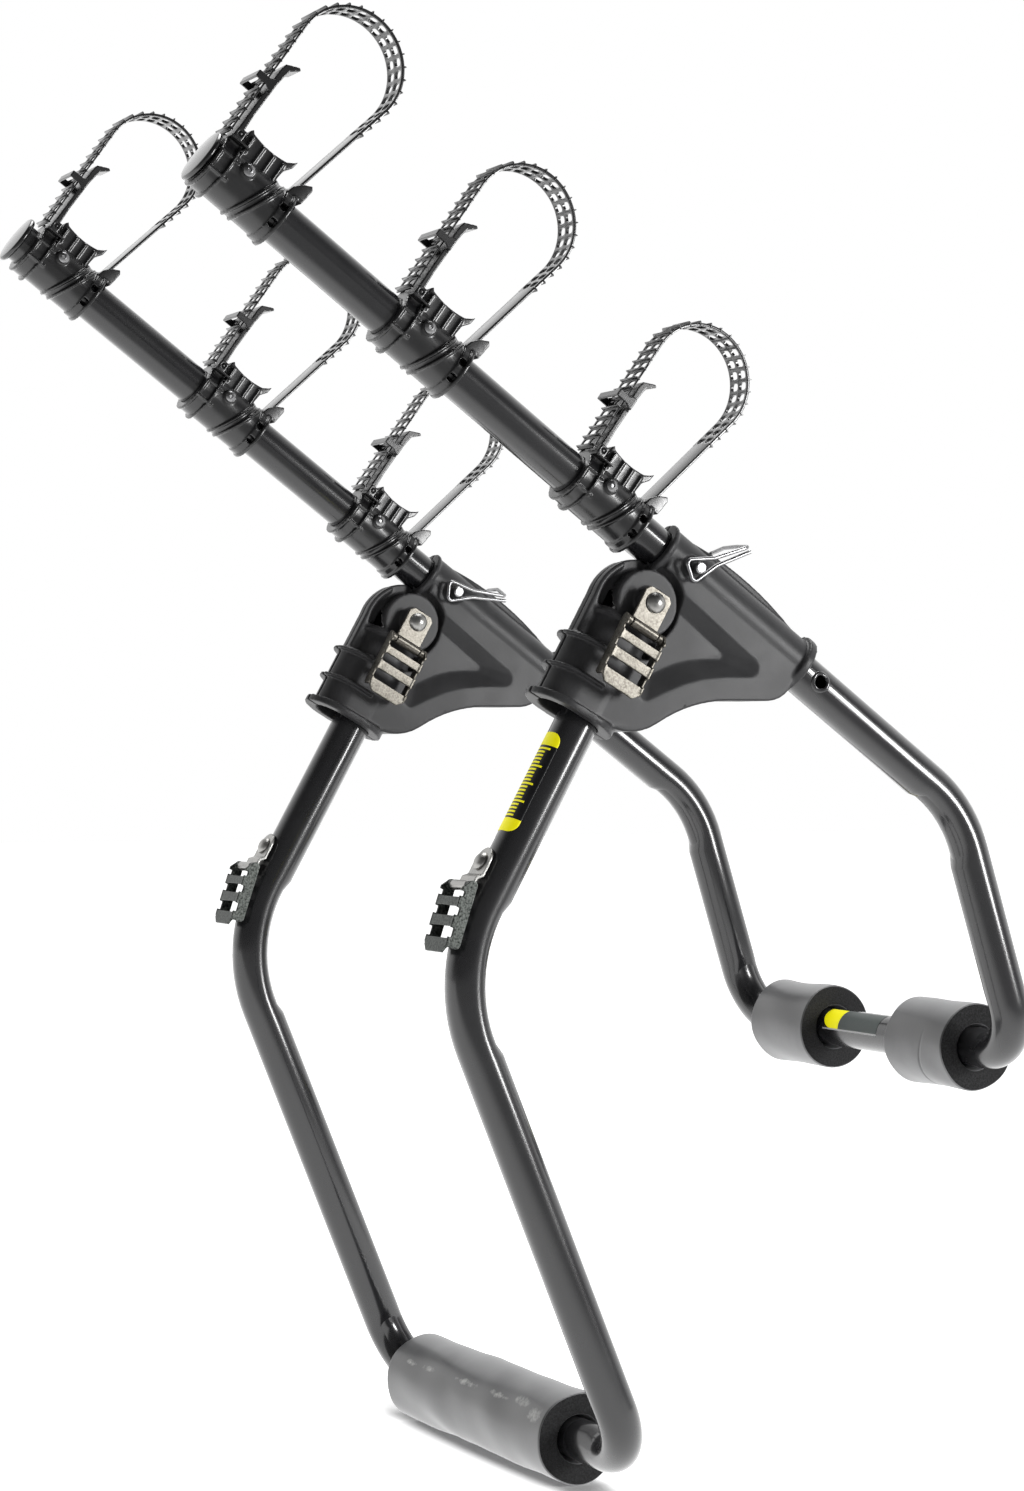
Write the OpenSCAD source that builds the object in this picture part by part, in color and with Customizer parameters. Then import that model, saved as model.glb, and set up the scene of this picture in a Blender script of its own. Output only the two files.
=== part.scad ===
// Trunk mounted bike rack: two bent tube frames joined by two moulded hubs,
// with cradles and ladder straps for three bikes and six webbing buckles.
// +X points to the car, +Y to the left side, +Z up.
// The origin is the middle of the lower crossbar.

/* [Tubes] */
// Outer diameter of both bent tubes
tube_d = 28.6; // [28:0.1:29]
// Wall thickness of both tubes
tube_wall = 2; // [1.5:0.1:2.5]
// Distance between the planes of the two sides
side_span = 364; // [350:2:380]
// Bend radius where the legs turn into the crossbars
crossbar_bend = 40; // [36:1:42]

/* [Upper frame] */
// Rise of the carrying arms above the horizontal, degrees
arm_rise = 36; // [34:1:38]
// Arm from the hub crossing to its open end
arm_len = 402; // [400:1:410]
// Upper leg from the hub crossing to its bend
upper_leg_len = 293; // [285:1:300]
// Fall of the upper leg below its bend, degrees
upper_fall = 72.5; // [70:0.5:75]
// Upper leg from its bend to the crossbar
upper_drop = 181; // [170:1:190]
// Bend radius of the upper leg
upper_bend = 90; // [70:5:110]

/* [Lower frame] */
// Slope of the lower leg above its knee, degrees
leg_slope = 60.6; // [59:0.2:62]
// Lower leg from the hub crossing to its knee
leg_len = 317; // [310:1:325]
// Slope of the lower leg under its knee, degrees
shin_slope = 67.3; // [65:0.1:69]
// Lower leg from its knee to the crossbar
shin_len = 351; // [340:1:360]
// Bend radius of the knee
knee_bend = 105; // [90:5:120]
// Lower leg pivot bolt, measured from the crossing along the leg
pivot_t = 39.5; // [38:0.5:41]

/* [Foam rolls] */
// Outer diameter of the foam rolls
foam_d = 63.5; // [57:0.5:70]
// Reach of the lower roll to the right of the rack's middle
lower_roll_right = 104; // [90:1:120]
// Length of each upper roll
upper_roll_len = 73; // [60:1:75]
// Middle of the right upper roll from the rack's middle
right_roll_y = 91.5; // [85:0.5:93]
// Middle of the left upper roll from the rack's middle
left_roll_y = 96; // [85:0.5:97]

/* [Hubs] */
// Half thickness of a hub, the outer radius of its tube sleeve
hub_r = 19; // [18.5:0.1:19.5]
// Sleeve from the crossing towards the car
sleeve_len = 128; // [124:1:130]
// Locking pin, measured from the crossing along the upper leg
pin_s = 18; // [16:0.5:20]
// Second locking hole, measured from the first
hole_pitch = 126; // [124:1:130]
// Forward play of the lower leg in its tunnel
tunnel_play = 16; // [15:0.5:18]
// Length of the leg tunnel from the crossing
tunnel_len = 128; // [126:1:132]

/* [Cradles and straps] */
// Places of the right cradles on the arm, from the crossing
right_cradles = [385, 232, 69];
// Places of the left cradles on the arm, from the crossing
left_cradles = [379, 219, 69];
// Width of the ladder straps
strap_w = 22; // [20:0.5:24]
// Thickness of the ladder straps
strap_t = 3; // [2.5:0.1:3]
// Radius of the strap loop
loop_r = 37; // [34:0.5:38]
// Height of the loop's centre over the arm
loop_h = 108; // [100:1:112]

/* [Buckles] */
// Width of a buckle's ladder frame
frame_w = 33; // [32:0.5:35]
// Length of the buckle tab, bolt to hinge
tab_len = 20; // [19:0.5:22]
// Leg buckle bolt, measured from the crossing along the leg
leg_bolt_t = 242; // [235:1:246]
// Lean of the leg buckle frames against the leg, degrees
leg_frame_lean = 11; // [5:1:12]

/* [Hidden] */
$fn = 64;
tube_r = tube_d / 2;
bore_r = tube_r + 0.05;
half_span = side_span / 2;
knee = shin_len * [-cos(shin_slope), 0, sin(shin_slope)];
crossing = knee + leg_len * [cos(leg_slope), 0, sin(leg_slope)];
arm_end = crossing + arm_len * [-cos(arm_rise), 0, sin(arm_rise)];
leg_bend = crossing + upper_leg_len * [cos(arm_rise), 0, -sin(arm_rise)];
upper_bar = leg_bend + upper_drop * [cos(upper_fall), 0, -sin(upper_fall)];
pivot = crossing - pivot_t * [cos(leg_slope), 0, sin(leg_slope)];
RIGHT = -1;
LEFT = 1;
paint = "#1c1c1f";
moulding = "#3a3a3d";
rubber = "#222224";
foam = "#4a4a4e";
zinc = "#b9b6a4";
bright = "#d6d8da";
running = 0.05;
part_gap = 0.1;
pin_r = 4;
pin_seat_r = 8.5;
pin_seat = 3;
pin_reach = 29;
wire_r = 1.4;
bail_y = hub_r + 5;
bolt_r = 4;
leg_bolt_r = 3;
boss_h = 25;
tab_back = boss_h + 0.3;
tab_t = 2;
leg_tab_back = tube_r + 0.5;
leg_tab_step = 3.2;
curl_r = 3.5;
bar_r = 2;
cradle_ends = [-16, 42];
cradle_r = 18.2;
saddle_w = 24;
screw_at = [6, 6];
clip_axis = [-10.5, 23];
clip_pin_r = 1.5;
ear_w = 2.5;
ear_in = 11.4;
loop_x = 20.5;
tail_z = 21;
root = [38.9, 18];

function unit(v) = v / norm(v);
function flip_y(p) = [p.x, -p.y, p.z];
function arc(c, r, a0, a1, n) =
    [for (i = [0:n]) let (a = a0 + (a1 - a0) * i / n) c + r * [cos(a), sin(a)]];
function cradle_s(side, n) = -(side == LEFT ? left_cradles : right_cradles)[n - 1];
function bail_angle(side) = side == RIGHT ? 55 : 30;

// A direction turned about an axis by an angle
function spun(v, axis, a) = v * cos(a) + cross(axis, v) * sin(a) + axis * (axis * v) * (1 - cos(a));
// A direction across the first run, carried along the bends to a later run
function carried(runs, v, i) =
    i == 0 ? v
    : spun(carried(runs, v, i - 1), unit(cross(runs[i - 1], runs[i])), acos(runs[i - 1] * runs[i]));

// A round rod between two points; across is a direction square to it
module rod(p, q, r, across) {
    along = unit(q - p);
    third = cross(along, across);
    multmatrix([
        [across.x, third.x, along.x, p.x],
        [across.y, third.y, along.y, p.y],
        [across.z, third.z, along.z, p.z],
    ])
        cylinder(h = norm(q - p), r = r);
}

// A round rod bent along straight runs, with an arc of its own radius at each corner.
// The arcs are a hair thicker by swell, and the runs lap a little way into them.
module bent_rod(pts, bends, r, swell) {
    last = len(pts) - 1;
    runs = [for (i = [0:last - 1]) unit(pts[i + 1] - pts[i])];
    turns = [for (i = [0:last]) i == 0 || i == last ? 0 : acos(runs[i - 1] * runs[i])];
    trims = [for (i = [0:last]) bends[i] * tan(turns[i] / 2)];
    laps = [for (i = [0:last]) i == 0 || i == last ? 0 : bends[i] / 100];
    first = unit(cross(runs[0], [0, 1, 0]));
    for (i = [0:last - 1]) {
        from = pts[i] + (trims[i] - laps[i]) * runs[i];
        to = pts[i + 1] - (trims[i + 1] - laps[i + 1]) * runs[i];
        rod(from, to, r, carried(runs, first, i));
    }
    for (i = [1:last - 1]) {
        start = pts[i] - trims[i] * runs[i - 1];
        middle = pts[i] + unit(runs[i] - runs[i - 1]) * bends[i] / cos(turns[i] / 2);
        e1 = unit(start - middle);
        e2 = runs[i - 1];
        e3 = cross(e1, e2);
        seam = carried(runs, first, i - 1);
        multmatrix([
            [e1.x, e2.x, e3.x, middle.x],
            [e1.y, e2.y, e3.y, middle.y],
            [e1.z, e2.z, e3.z, middle.z],
        ])
            rotate_extrude(angle = turns[i])
                translate([bends[i], 0])
                    rotate(atan2(seam * e3, seam * e1))
                        circle(r + swell);
    }
}

// A bent tube: the rod with a bore that runs out of both ends
module bent_tube(pts, bends) {
    last = len(pts) - 1;
    over = 1;
    swell = 0.25;
    open = [for (i = [0:last])
        i == 0 ? pts[0] + over * unit(pts[0] - pts[1])
        : i == last ? pts[last] + over * unit(pts[last] - pts[last - 1])
        : pts[i]];
    difference() {
        bent_rod(pts, bends, tube_r, swell);
        bent_rod(open, bends, tube_r - tube_wall, swell);
    }
}

// A rod along Y, centred, for pins and cross holes
module cross_rod(r, h) {
    rotate([90, 0, 0]) cylinder(h = h, r = r, center = true);
}

// Frame on the arm: x runs along the tube towards the car, z stands up from it
module on_arm(side, s) {
    translate(crossing + [0, side * half_span, 0]) rotate([0, arm_rise, 0]) translate([s, 0, 0]) children();
}

// Frame on the lower leg: x runs down the leg, -z points away from the car
module on_leg(side, t) {
    translate(crossing + [0, side * half_span, 0])
        rotate([0, 180 - leg_slope, 0])
            translate([t, 0, 0])
                children();
}

module upper_frame_tube() {
    right = [for (p = [arm_end, leg_bend, upper_bar]) p - [0, half_span, 0]];
    pts = concat(right, [for (i = [2:-1:0]) flip_y(right[i])]);
    color(paint) difference() {
        bent_tube(pts, [0, upper_bend, crossbar_bend, crossbar_bend, upper_bend, 0]);
        for (side = [RIGHT, LEFT]) {
            on_arm(side, pin_s) cross_rod(pin_r + running, tube_d + 2);
            on_arm(side, pin_s + hole_pitch) cross_rod(pin_r + 0.8, tube_d + 2);
        }
    }
}

module lower_frame_tube() {
    leg_top = 8;
    top = pivot + leg_top * [cos(leg_slope), 0, sin(leg_slope)];
    right = [for (p = [top, knee, [0, 0, 0]]) p - [0, half_span, 0]];
    pts = concat(right, [for (i = [2:-1:0]) flip_y(right[i])]);
    color(paint) difference() {
        bent_tube(pts, [0, knee_bend, crossbar_bend, crossbar_bend, knee_bend, 0]);
        for (side = [RIGHT, LEFT]) {
            on_leg(side, pivot_t) cross_rod(bolt_r + running, tube_d + 2);
            on_leg(side, leg_bolt_t) mirror([0, 0, 1]) cylinder(h = tube_r + 1, r = leg_bolt_r);
        }
    }
}

// A foam roll on a crossbar, with softly rounded rims
module foam_roll(place, length) {
    soft = 3;
    color(foam) translate(place) rotate([90, 0, 0]) rotate_extrude() difference() {
        translate([bore_r, -length / 2]) square([foam_d / 2 - bore_r, length]);
        for (end = [-1, 1]) difference() {
            translate([foam_d / 2 - soft / 2, end * (length / 2 - soft / 2)])
                square(soft + 0.02, center = true);
            translate([foam_d / 2 - soft, end * (length / 2 - soft)]) circle(soft);
        }
    }
}

module upper_pad(side) {
    shift = side == LEFT ? left_roll_y : -right_roll_y;
    foam_roll(upper_bar + [0, shift, 0], upper_roll_len);
}

// The lower roll ends just short of the left leg's bend
module lower_pad() {
    left = half_span - crossbar_bend - 1;
    foam_roll([0, (left - lower_roll_right) / 2, 0], left + lower_roll_right);
}

// Mushroom cap: a crowned disc on a plug in the open end of an arm
module arm_cap(side) {
    disc_r = 18.5;
    disc_t = 5;
    crown = 60;
    plug = 12;
    color(moulding) on_arm(side, -arm_len) rotate([0, -90, 0]) rotate_extrude() {
        intersection() {
            square([disc_r, disc_t]);
            translate([0, disc_t - crown]) circle(crown);
            translate([disc_r - disc_t * 0.9, disc_t * 0.45]) union() {
                circle(disc_t * 0.9);
                translate([-disc_r, -disc_t]) square([disc_r, 2 * disc_t]);
            }
        }
        translate([0, -plug]) square([tube_r - tube_wall - running, plug + 0.5]);
    }
}

// Ring on the cradle's sleeve, from one place to another along the arm
module sleeve_ring(x0, x1, r) {
    translate([x0, 0, 0]) rotate([0, 90, 0]) cylinder(h = x1 - x0, r = r);
}

// Side outline of the saddle: two horns with a shallow seat between them
module saddle_outline() {
    seat_r = 55;
    seat = [10.5, 28 + seat_r];
    polygon(concat(
        [[-6, 12], [-6, 30], [-4.5, 31.6]],
        arc(seat, seat_r, 256, 284, 8),
        [[28, 32.6], [30, 34.6], [29.2, 29], [25.5, 24], [24.5, 12]]
    ));
}

// Outline of the block that holds the strap's fixed end
module anchor_outline() {
    polygon([[34.5, 14], [36, 20], [39.5, 24.5], [46, 28.5], [48, 25.5], [46.5, 14]]);
}

module cradle(side, n) {
    window = [4.6, 5];
    slot_gap = 0.3;
    slant = 22;
    color(moulding) on_arm(side, cradle_s(side, n)) difference() {
        union() {
            sleeve_ring(cradle_ends[0], cradle_ends[1], cradle_r);
            sleeve_ring(cradle_ends[0] + 0.5, -5.5, cradle_r + 0.8);
            sleeve_ring(cradle_ends[0] - 0.2, cradle_ends[0] + 1.8, cradle_r + 1.8);
            sleeve_ring(-6.4, -4.8, cradle_r + 3.4);
            sleeve_ring(34.6, 40.5, cradle_r + 1.2);
            sleeve_ring(40, cradle_ends[1] + 0.5, cradle_r + 2.3);
            for (x = [19.5, 25])
                translate([x, 0, 0]) rotate([0, 90 + slant, 0]) cylinder(h = 1.8, r = cradle_r + 2.4);
            rotate([90, 0, 0]) linear_extrude(saddle_w, center = true) saddle_outline();
            for (rib = [[-3.6, 4], [6, 1.2], [14, 1.2], [22, 1.2]])
                translate([rib.x, -saddle_w / 2 - rib.y, 7]) cube([1.6, saddle_w + 2 * rib.y, 20]);
            rotate([90, 0, 0]) linear_extrude(strap_w + 4, center = true) anchor_outline();
            for (y = [-ear_in - ear_w, ear_in])
                translate([clip_axis.x - 3.5, y, 8]) cube([7, ear_w, 18.5]);
            translate([screw_at.x, 0, screw_at.y]) cross_rod(5, 2 * cradle_r + 2);
            for (z = [-9, 5, 16])
                translate([cradle_ends[0], -cradle_r - 1.6, z]) cube([15, 2 * cradle_r + 3.2, 1.4]);
        }
        sleeve_ring(cradle_ends[0] - 1, cradle_ends[1] + 2, bore_r);
        translate([clip_axis.x, 0, clip_axis.y]) cross_rod(clip_pin_r + running, 40);
        translate([screw_at.x, 0, screw_at.y]) cross_rod(2, 60);
        for (z = [3, -9])
            translate([37.3, 0, z]) cube([window.x, 60, window.y], center = true);
        translate([root.x, 0, root.y]) rotate([0, -root_a, 0])
            translate([-strap_t / 2 - slot_gap, -strap_w / 2 - slot_gap, -0.5])
                cube([strap_t + 2 * slot_gap, strap_w + 2 * slot_gap, 20]);
    }
}

module cradle_screws() {
    head_r = 3.6;
    color(bright) for (side = [RIGHT, LEFT], n = [1:3]) {
            for (face = [-1, 1]) on_arm(side, cradle_s(side, n))
            translate([screw_at.x, face * (cradle_r + 1.05), screw_at.y])
                rotate([-90 * face, 0, 0])
                    cylinder(h = 2, r1 = head_r, r2 = head_r - 0.8);
    }
}

// Place and heading of the strap's middle line at a length along it, from its tail
rise_len = loop_h - tail_z;
root_dir = [root.x - loop_x, root.y - loop_h];
root_a = atan2(root_dir.y, root_dir.x) + acos(loop_r / norm(root_dir));
loop_len = loop_r * PI * (180 - root_a) / 180;
fall_len = sqrt(norm(root_dir) * norm(root_dir) - loop_r * loop_r);
strap_len = rise_len + loop_len + fall_len;
function strap_at(u) =
    u < rise_len ? [[loop_x - loop_r, tail_z + u], [0, 1]]
    : u < rise_len + loop_len
        ? let (a = 180 - (u - rise_len) / loop_len * (180 - root_a))
            [[loop_x, loop_h] + loop_r * [cos(a), sin(a)], [sin(a), -cos(a)]]
    : [[loop_x, loop_h] + loop_r * [cos(root_a), sin(root_a)]
        + (u - rise_len - loop_len) * [sin(root_a), -cos(root_a)], [sin(root_a), -cos(root_a)]];
// A point beside the middle line; a positive offset lies outside the loop
function beside(u, off) = let (p = strap_at(u)) p[0] + off * [-p[1].y, p[1].x];
// Outline of the strap between two lengths, from one offset to another
function band(u0, u1, in, out, n) = concat(
    [for (i = [0:n]) beside(u0 + (u1 - u0) * i / n, out)],
    [for (i = [n:-1:0]) beside(u0 + (u1 - u0) * i / n, in)]
);

// Ladder strap: three rails joined by ridged rungs, and a plain band to its root
module strap(side, n) {
    pitch = 8;
    rung = 2.8;
    ridge = 1.2;
    rail_w = 2.4;
    overhang = 0.8;
    rungs = floor((rise_len + loop_len + 21) / pitch);
    holes_end = rungs * pitch;
    color(rubber) on_arm(side, cradle_s(side, n)) rotate([90, 0, 0]) {
        for (y = [-strap_w / 2, -rail_w / 2, strap_w / 2 - rail_w])
            translate([0, 0, y]) linear_extrude(rail_w)
                polygon(band(0, holes_end, -strap_t / 2, strap_t / 2, 30));
        linear_extrude(strap_w + 2 * overhang, center = true)
            for (i = [0:rungs - 1])
                polygon(band(i * pitch + 0.4, i * pitch + rung, 0.3 - strap_t / 2, strap_t / 2 + ridge, 1));
        linear_extrude(strap_w, center = true)
            polygon(band(holes_end - 0.5, strap_len, -strap_t / 2, strap_t / 2, 8));
    }
}

// Strap latch: a hinged tongue with a keeper round the strap and a flared tab to pull
module clip(side, n) {
    tongue_w = 20;
    keeper_w = strap_w + 6;
    keeper_z = [57, 66];
    inner = strap_w + 2.8;
    color(moulding) on_arm(side, cradle_s(side, n)) difference() {
        union() {
            translate([clip_axis.x, 0, clip_axis.y]) cross_rod(clip_pin_r, 2 * (ear_in + ear_w));
            rotate([90, 0, 0]) linear_extrude(tongue_w, center = true)
                polygon([[-13, 21], [-13, 76], [-12, 80], [-3.6, 84.4], [-2, 82.8], [-7.6, 77.5],
                    [-9, 66], [-9.4, 40], [-8.6, 24], [-9.2, 21]]);
            translate([-24.4, -keeper_w / 2, keeper_z[0]])
                cube([14.4, keeper_w, keeper_z[1] - keeper_z[0]]);
        }
        translate([-22.8, -inner / 2, keeper_z[0] - 1])
            cube([9.8, inner, keeper_z[1] - keeper_z[0] + 2]);
    }
}

// Side outline of a hub, in the plane of the rack's side with the crossing at its corner
module hub_outline() {
    heel = [-33, -80];
    heel_r = 39;
    toe = [72, -76];
    toe_r = 22;
    flat_x = 42;
    flat_z = toe.y - toe_r;
    lift = flat_z - heel.y;
    run = flat_x - heel.x;
    waist_r = (run * run + lift * lift - heel_r * heel_r) / (2 * (heel_r + lift));
    waist = [flat_x, flat_z - waist_r];
    join_a = atan2(heel.y - waist.y, heel.x - waist.x);
    sleeve_end = sleeve_len - 5;
    polygon(concat(
        [[0, 0], sleeve_end * [cos(arm_rise), -sin(arm_rise)]],
        arc(toe, toe_r, -15, -90, 6),
        arc(waist, waist_r, 90, join_a, 8),
        arc(heel, heel_r, join_a - 180, -140, 8)
    ));
}

// Leg tunnel shape: a slot along the leg, round at the back and front
module tunnel(r, t0, t1, play) {
    translate([t0, 0, 0]) {
        rotate([0, 90, 0]) cylinder(h = t1 - t0, r = r);
        translate([0, 0, -play]) rotate([0, 90, 0]) cylinder(h = t1 - t0, r = r);
        translate([0, -r, -play]) cube([t1 - t0, 2 * r, play]);
    }
}

// Three-sided pocket in the web, drawn in towards its floor
module web_pocket() {
    depth = 8;
    middle = [0, -51];
    corner = 6;
    translate([middle.x, hub_r + 0.01, middle.y]) rotate([90, 0, 0])
        linear_extrude(depth, scale = 0.62)
            polygon(concat(
                arc([5, 17.5], corner, 55, 155, 5),
                arc([-22, -43], corner, 160, 270, 5),
                [[-7, -42.5], [8, -37], [23, -33.6], [42, -32]],
                arc([60.5, -26], corner, -90, 48, 5)
            ));
}

// One half of a hub, on its +Y side of the hub's middle plane
module hub_half(side, face) {
    cavity_r = tube_r + 0.5;
    rib_r = 244;
    rib_top = 24.5;
    rib_mid = 62;
    rib_t = 2.5;
    flange_r = 23.5;
    flange_t = 2.2;
    slit = 1;
    neck = -4;
    web_t = hub_r - 0.5;
    shroud_c = [-20, 0, -40];
    shroud_r = [31.5, 35.4];
    shroud_h = 7;
    shroud_front = 32.9;
    shroud_end = -31;
    recess_floor = 3;
    recess_r = 27;
    mouth = 81;
    upper_play = tunnel_play / 2;
    disc = [22.5, 16.5];
    spacer_r = 10;
    color(moulding) translate(crossing + [0, side * half_span, 0]) mirror([0, face < 0 ? 1 : 0, 0])
        difference() {
            union() {
                difference() {
                    union() {
                        rotate([90, 0, 0]) mirror([0, 0, 1]) linear_extrude(web_t) hub_outline();
                        rotate([90, 0, 0]) mirror([0, 0, 1]) linear_extrude(shroud_h) {
                            translate([shroud_c.x, shroud_c.z]) circle(shroud_r[1]);
                            rotate(180 + leg_slope) translate([pivot_t + 5, -shroud_front])
                                square([mouth - pivot_t - 4, shroud_front]);
                        }
                    }
                    translate(pivot - crossing + [0, recess_floor, 0]) rotate([-90, 0, 0])
                        cylinder(h = hub_r, r = recess_r);
                    intersection() {
                        translate(shroud_c + [0, recess_floor, 0]) rotate([-90, 0, 0])
                            cylinder(h = hub_r, r = shroud_r[0]);
                        translate([-80, 0, -100]) cube([66, 50, 200]);
                    }
                    translate([shroud_end, recess_floor, -20]) cube([-14 - shroud_end, hub_r, 40]);
                    web_pocket();
                }
                translate(pivot - crossing) rotate([-90, 0, 0]) {
                    cylinder(h = disc[1], r = disc[0]);
                    cylinder(h = boss_h, r = spacer_r);
                }
                rotate([0, 180 - leg_slope, 0]) {
                    tunnel(hub_r, pivot_t + 15, mouth, upper_play);
                    tunnel(hub_r, mouth - 2, tunnel_len, tunnel_play);
                    tunnel(hub_r + 2, pivot_t + 18, pivot_t + 20, upper_play);
                    for (t = [mouth, mouth + 23]) intersection() {
                        tunnel(flange_r, t, t + flange_t, tunnel_play);
                        translate([t, 0, -50]) cube([10, 50, 47]);
                    }
                    tunnel(flange_r + 1, tunnel_len - 4, tunnel_len + 1, tunnel_play);
                }
                rotate([0, arm_rise, 0]) {
                    sleeve_ring(neck, sleeve_len, hub_r);
                    sleeve_ring(neck - 1, neck + 2, hub_r + 1.4);
                    sleeve_ring(sleeve_len - 6, sleeve_len, hub_r + 3.5);
                    rotate([90, 0, 0]) mirror([0, 0, 1]) linear_extrude(rib_t) intersection() {
                        translate([rib_mid, rib_top - rib_r]) circle(rib_r, $fn = 200);
                        translate([pin_s - 14, 5]) square([sleeve_len - 12, 30]);
                    }
                }
            }
            translate([-300, part_gap / 2 - 200, -300]) cube([600, 200, 600]);
            rotate([0, arm_rise, 0]) {
                sleeve_ring(-20, sleeve_len + 20, bore_r);
                translate([pin_s, 0, 0]) cross_rod(pin_r + running, 60);
                translate([pin_s, hub_r, 0]) cross_rod(pin_seat_r, 2 * pin_seat);
            }
            rotate([0, 180 - leg_slope, 0]) {
                tunnel(cavity_r, pivot_t, mouth + 2, upper_play);
                tunnel(cavity_r, mouth + 0.5, tunnel_len + 5, tunnel_play);
                translate([pivot_t, 0, 0]) {
                    cross_rod(bolt_r, 60);
                    cross_rod(cavity_r + 2.2, 2 * cavity_r);
                }
                translate([mouth + 1, -1, -60]) cube([80, 1 + slit, 45]);
            }
        }
}

// Domed pivot bolt through a hub, its leg and both buckle tabs
module pivot_bolt(side) {
    head_r = 7;
    head_h = 4.5;
    grip = tab_back + tab_t + 0.3;
    color(bright) on_leg(side, pivot_t) {
        cross_rod(bolt_r - 0.01, 2 * grip + 1);
        for (face = [-1, 1]) translate([0, face * grip, 0]) rotate([-90 * face, 0, 0]) rotate_extrude()
            intersection() {
                square([head_r, head_h]);
                translate([0, head_h - 8]) circle(8);
            }
    }
}

// Locking pin: a thick head on one face, a bare tip for the bail on the other
module hitch_pin(side) {
    head_r = 7;
    head_h = 11;
    head_y = hub_r - pin_seat + 0.3;
    color(bright) on_arm(side, pin_s) difference() {
        union() {
            translate([0, head_y, 0]) rotate([-90, 0, 0]) cylinder(h = head_h, r = head_r);
            translate([0, head_y + 1, 0]) rotate([90, 0, 0]) cylinder(h = head_y + 1 + pin_reach, r = pin_r);
        }
        rotate([0, -bail_angle(side), 0]) rod([2.5, bail_y, 0], [head_r + 1, bail_y, 0], wire_r + 0.02, [0, 0, 1]);
    }
}

// Wire bail: a three-cornered loop round the pin's tip, two legs to its crest,
// a hump over the hub's rib and one leg back into the pin's head
module pin_bail(side) {
    y0 = -pin_reach + 3.2;
    y1 = bail_y;
    back = -pin_r - wire_r - 2.4;
    crest = 41;
    hump = side == RIGHT ? 2.5 : 8;
    color(bright) on_arm(side, pin_s) rotate([0, -bail_angle(side), 0])
        bent_rod([
            [crest, y0, -1.7], [13, y0, -2.6], [back, y0, -8], [back, y0, 8], [13, y0, 2.6],
            [crest, y0, 1.7], [crest + 1, y0 / 3, hump], [crest + 1, y1 / 3, hump], [crest, y1, 0], [3, y1, 0],
        ], [0, 8, 3, 3, 8, 4, 4, 4, 4, 0], wire_r, 0.01);
}

// Buckle frame of reference on a hub's face: x across, y out of the hub, z up along the tab
module on_hub_face(side, face) {
    on_leg(side, pivot_t) mirror([0, face < 0 ? 1 : 0, 0])
        translate([0, tab_back, 0])
            rotate([0, -90, 0])
                children();
}

// The same on the front of a lower leg
module on_leg_front(side) {
    on_leg(side, leg_bolt_t)
        translate([0, 0, -leg_tab_back])
            rotate([0, 0, 90])
                rotate([-90, 0, 0])
                    children();
}

module buckle_place(side, face) {
    if (face == "leg") on_leg_front(side) children();
    else on_hub_face(side, (face == "outer" ? 1 : -1) * side) children();
}

function tab_step(face) = face == "leg" ? leg_tab_step : 0;

// Zinc tab with a bolt hole and a curl for the ladder frame's bar.
// Its end is round on the legs and square with clipped corners on the hubs.
module buckle_tab(side, face) {
    width = 21;
    crank = 9;
    step = tab_step(face);
    top = 8.5;
    clip = 3;
    side_x = width / 2;
    hole_r = face == "leg" ? leg_bolt_r : bolt_r;
    color(zinc) buckle_place(side, face) difference() {
        union() {
            if (face == "leg") rotate([-90, 0, 0]) cylinder(h = tab_t, r = side_x);
            else translate([0, tab_t, 0]) rotate([90, 0, 0]) linear_extrude(tab_t) polygon([
                [-side_x, -1], [side_x, -1], [side_x, top - clip],
                [side_x - clip, top], [clip - side_x, top], [-side_x, top - clip],
            ]);
            rotate([90, 0, 90]) linear_extrude(width, center = true) polygon([
                [0, 0], [tab_t, 0], [tab_t, -crank], [tab_t + step, -crank - step],
                [tab_t + step, -tab_len], [step, -tab_len], [step, -crank - step - 1], [0, -crank - 1],
            ]);
            translate([0, step + curl_r, -tab_len]) rotate([0, 90, 0])
                cylinder(h = width, r = curl_r, center = true);
        }
        translate([0, step + curl_r, -tab_len]) rotate([0, 90, 0])
            cylinder(h = width + 2, r = bar_r + running, center = true);
        rotate([-90, 0, 0]) cylinder(h = 3 * tab_t, r = hole_r + running, center = true);
    }
}

// Side plate of a ladder frame, from the hinge down: y out of the hub, z up.
// Notches in its front edge run on from the windows between the rungs.
module plate_outline(depth, drop) {
    eye_r = 3.6;
    corner = 3;
    notch = 2.4;
    difference() {
        union() {
            circle(eye_r);
            polygon([
                [-depth[0], -1], [2.6, 2.2], [depth[1], -2.5], [depth[1], -drop + corner],
                [depth[1] - corner, -drop], [corner - depth[0], -drop], [-depth[0], -drop + corner],
            ]);
            for (y = [corner - depth[0], depth[1] - corner])
                translate([y, -drop + corner]) circle(corner);
        }
        for (z = [[-8.2, 3.4], [-20.7, 4.9], [-35.4, 6.1]])
            translate([depth[1] - notch, z[0]]) square([2 * notch, z[1]]);
    }
}

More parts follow.
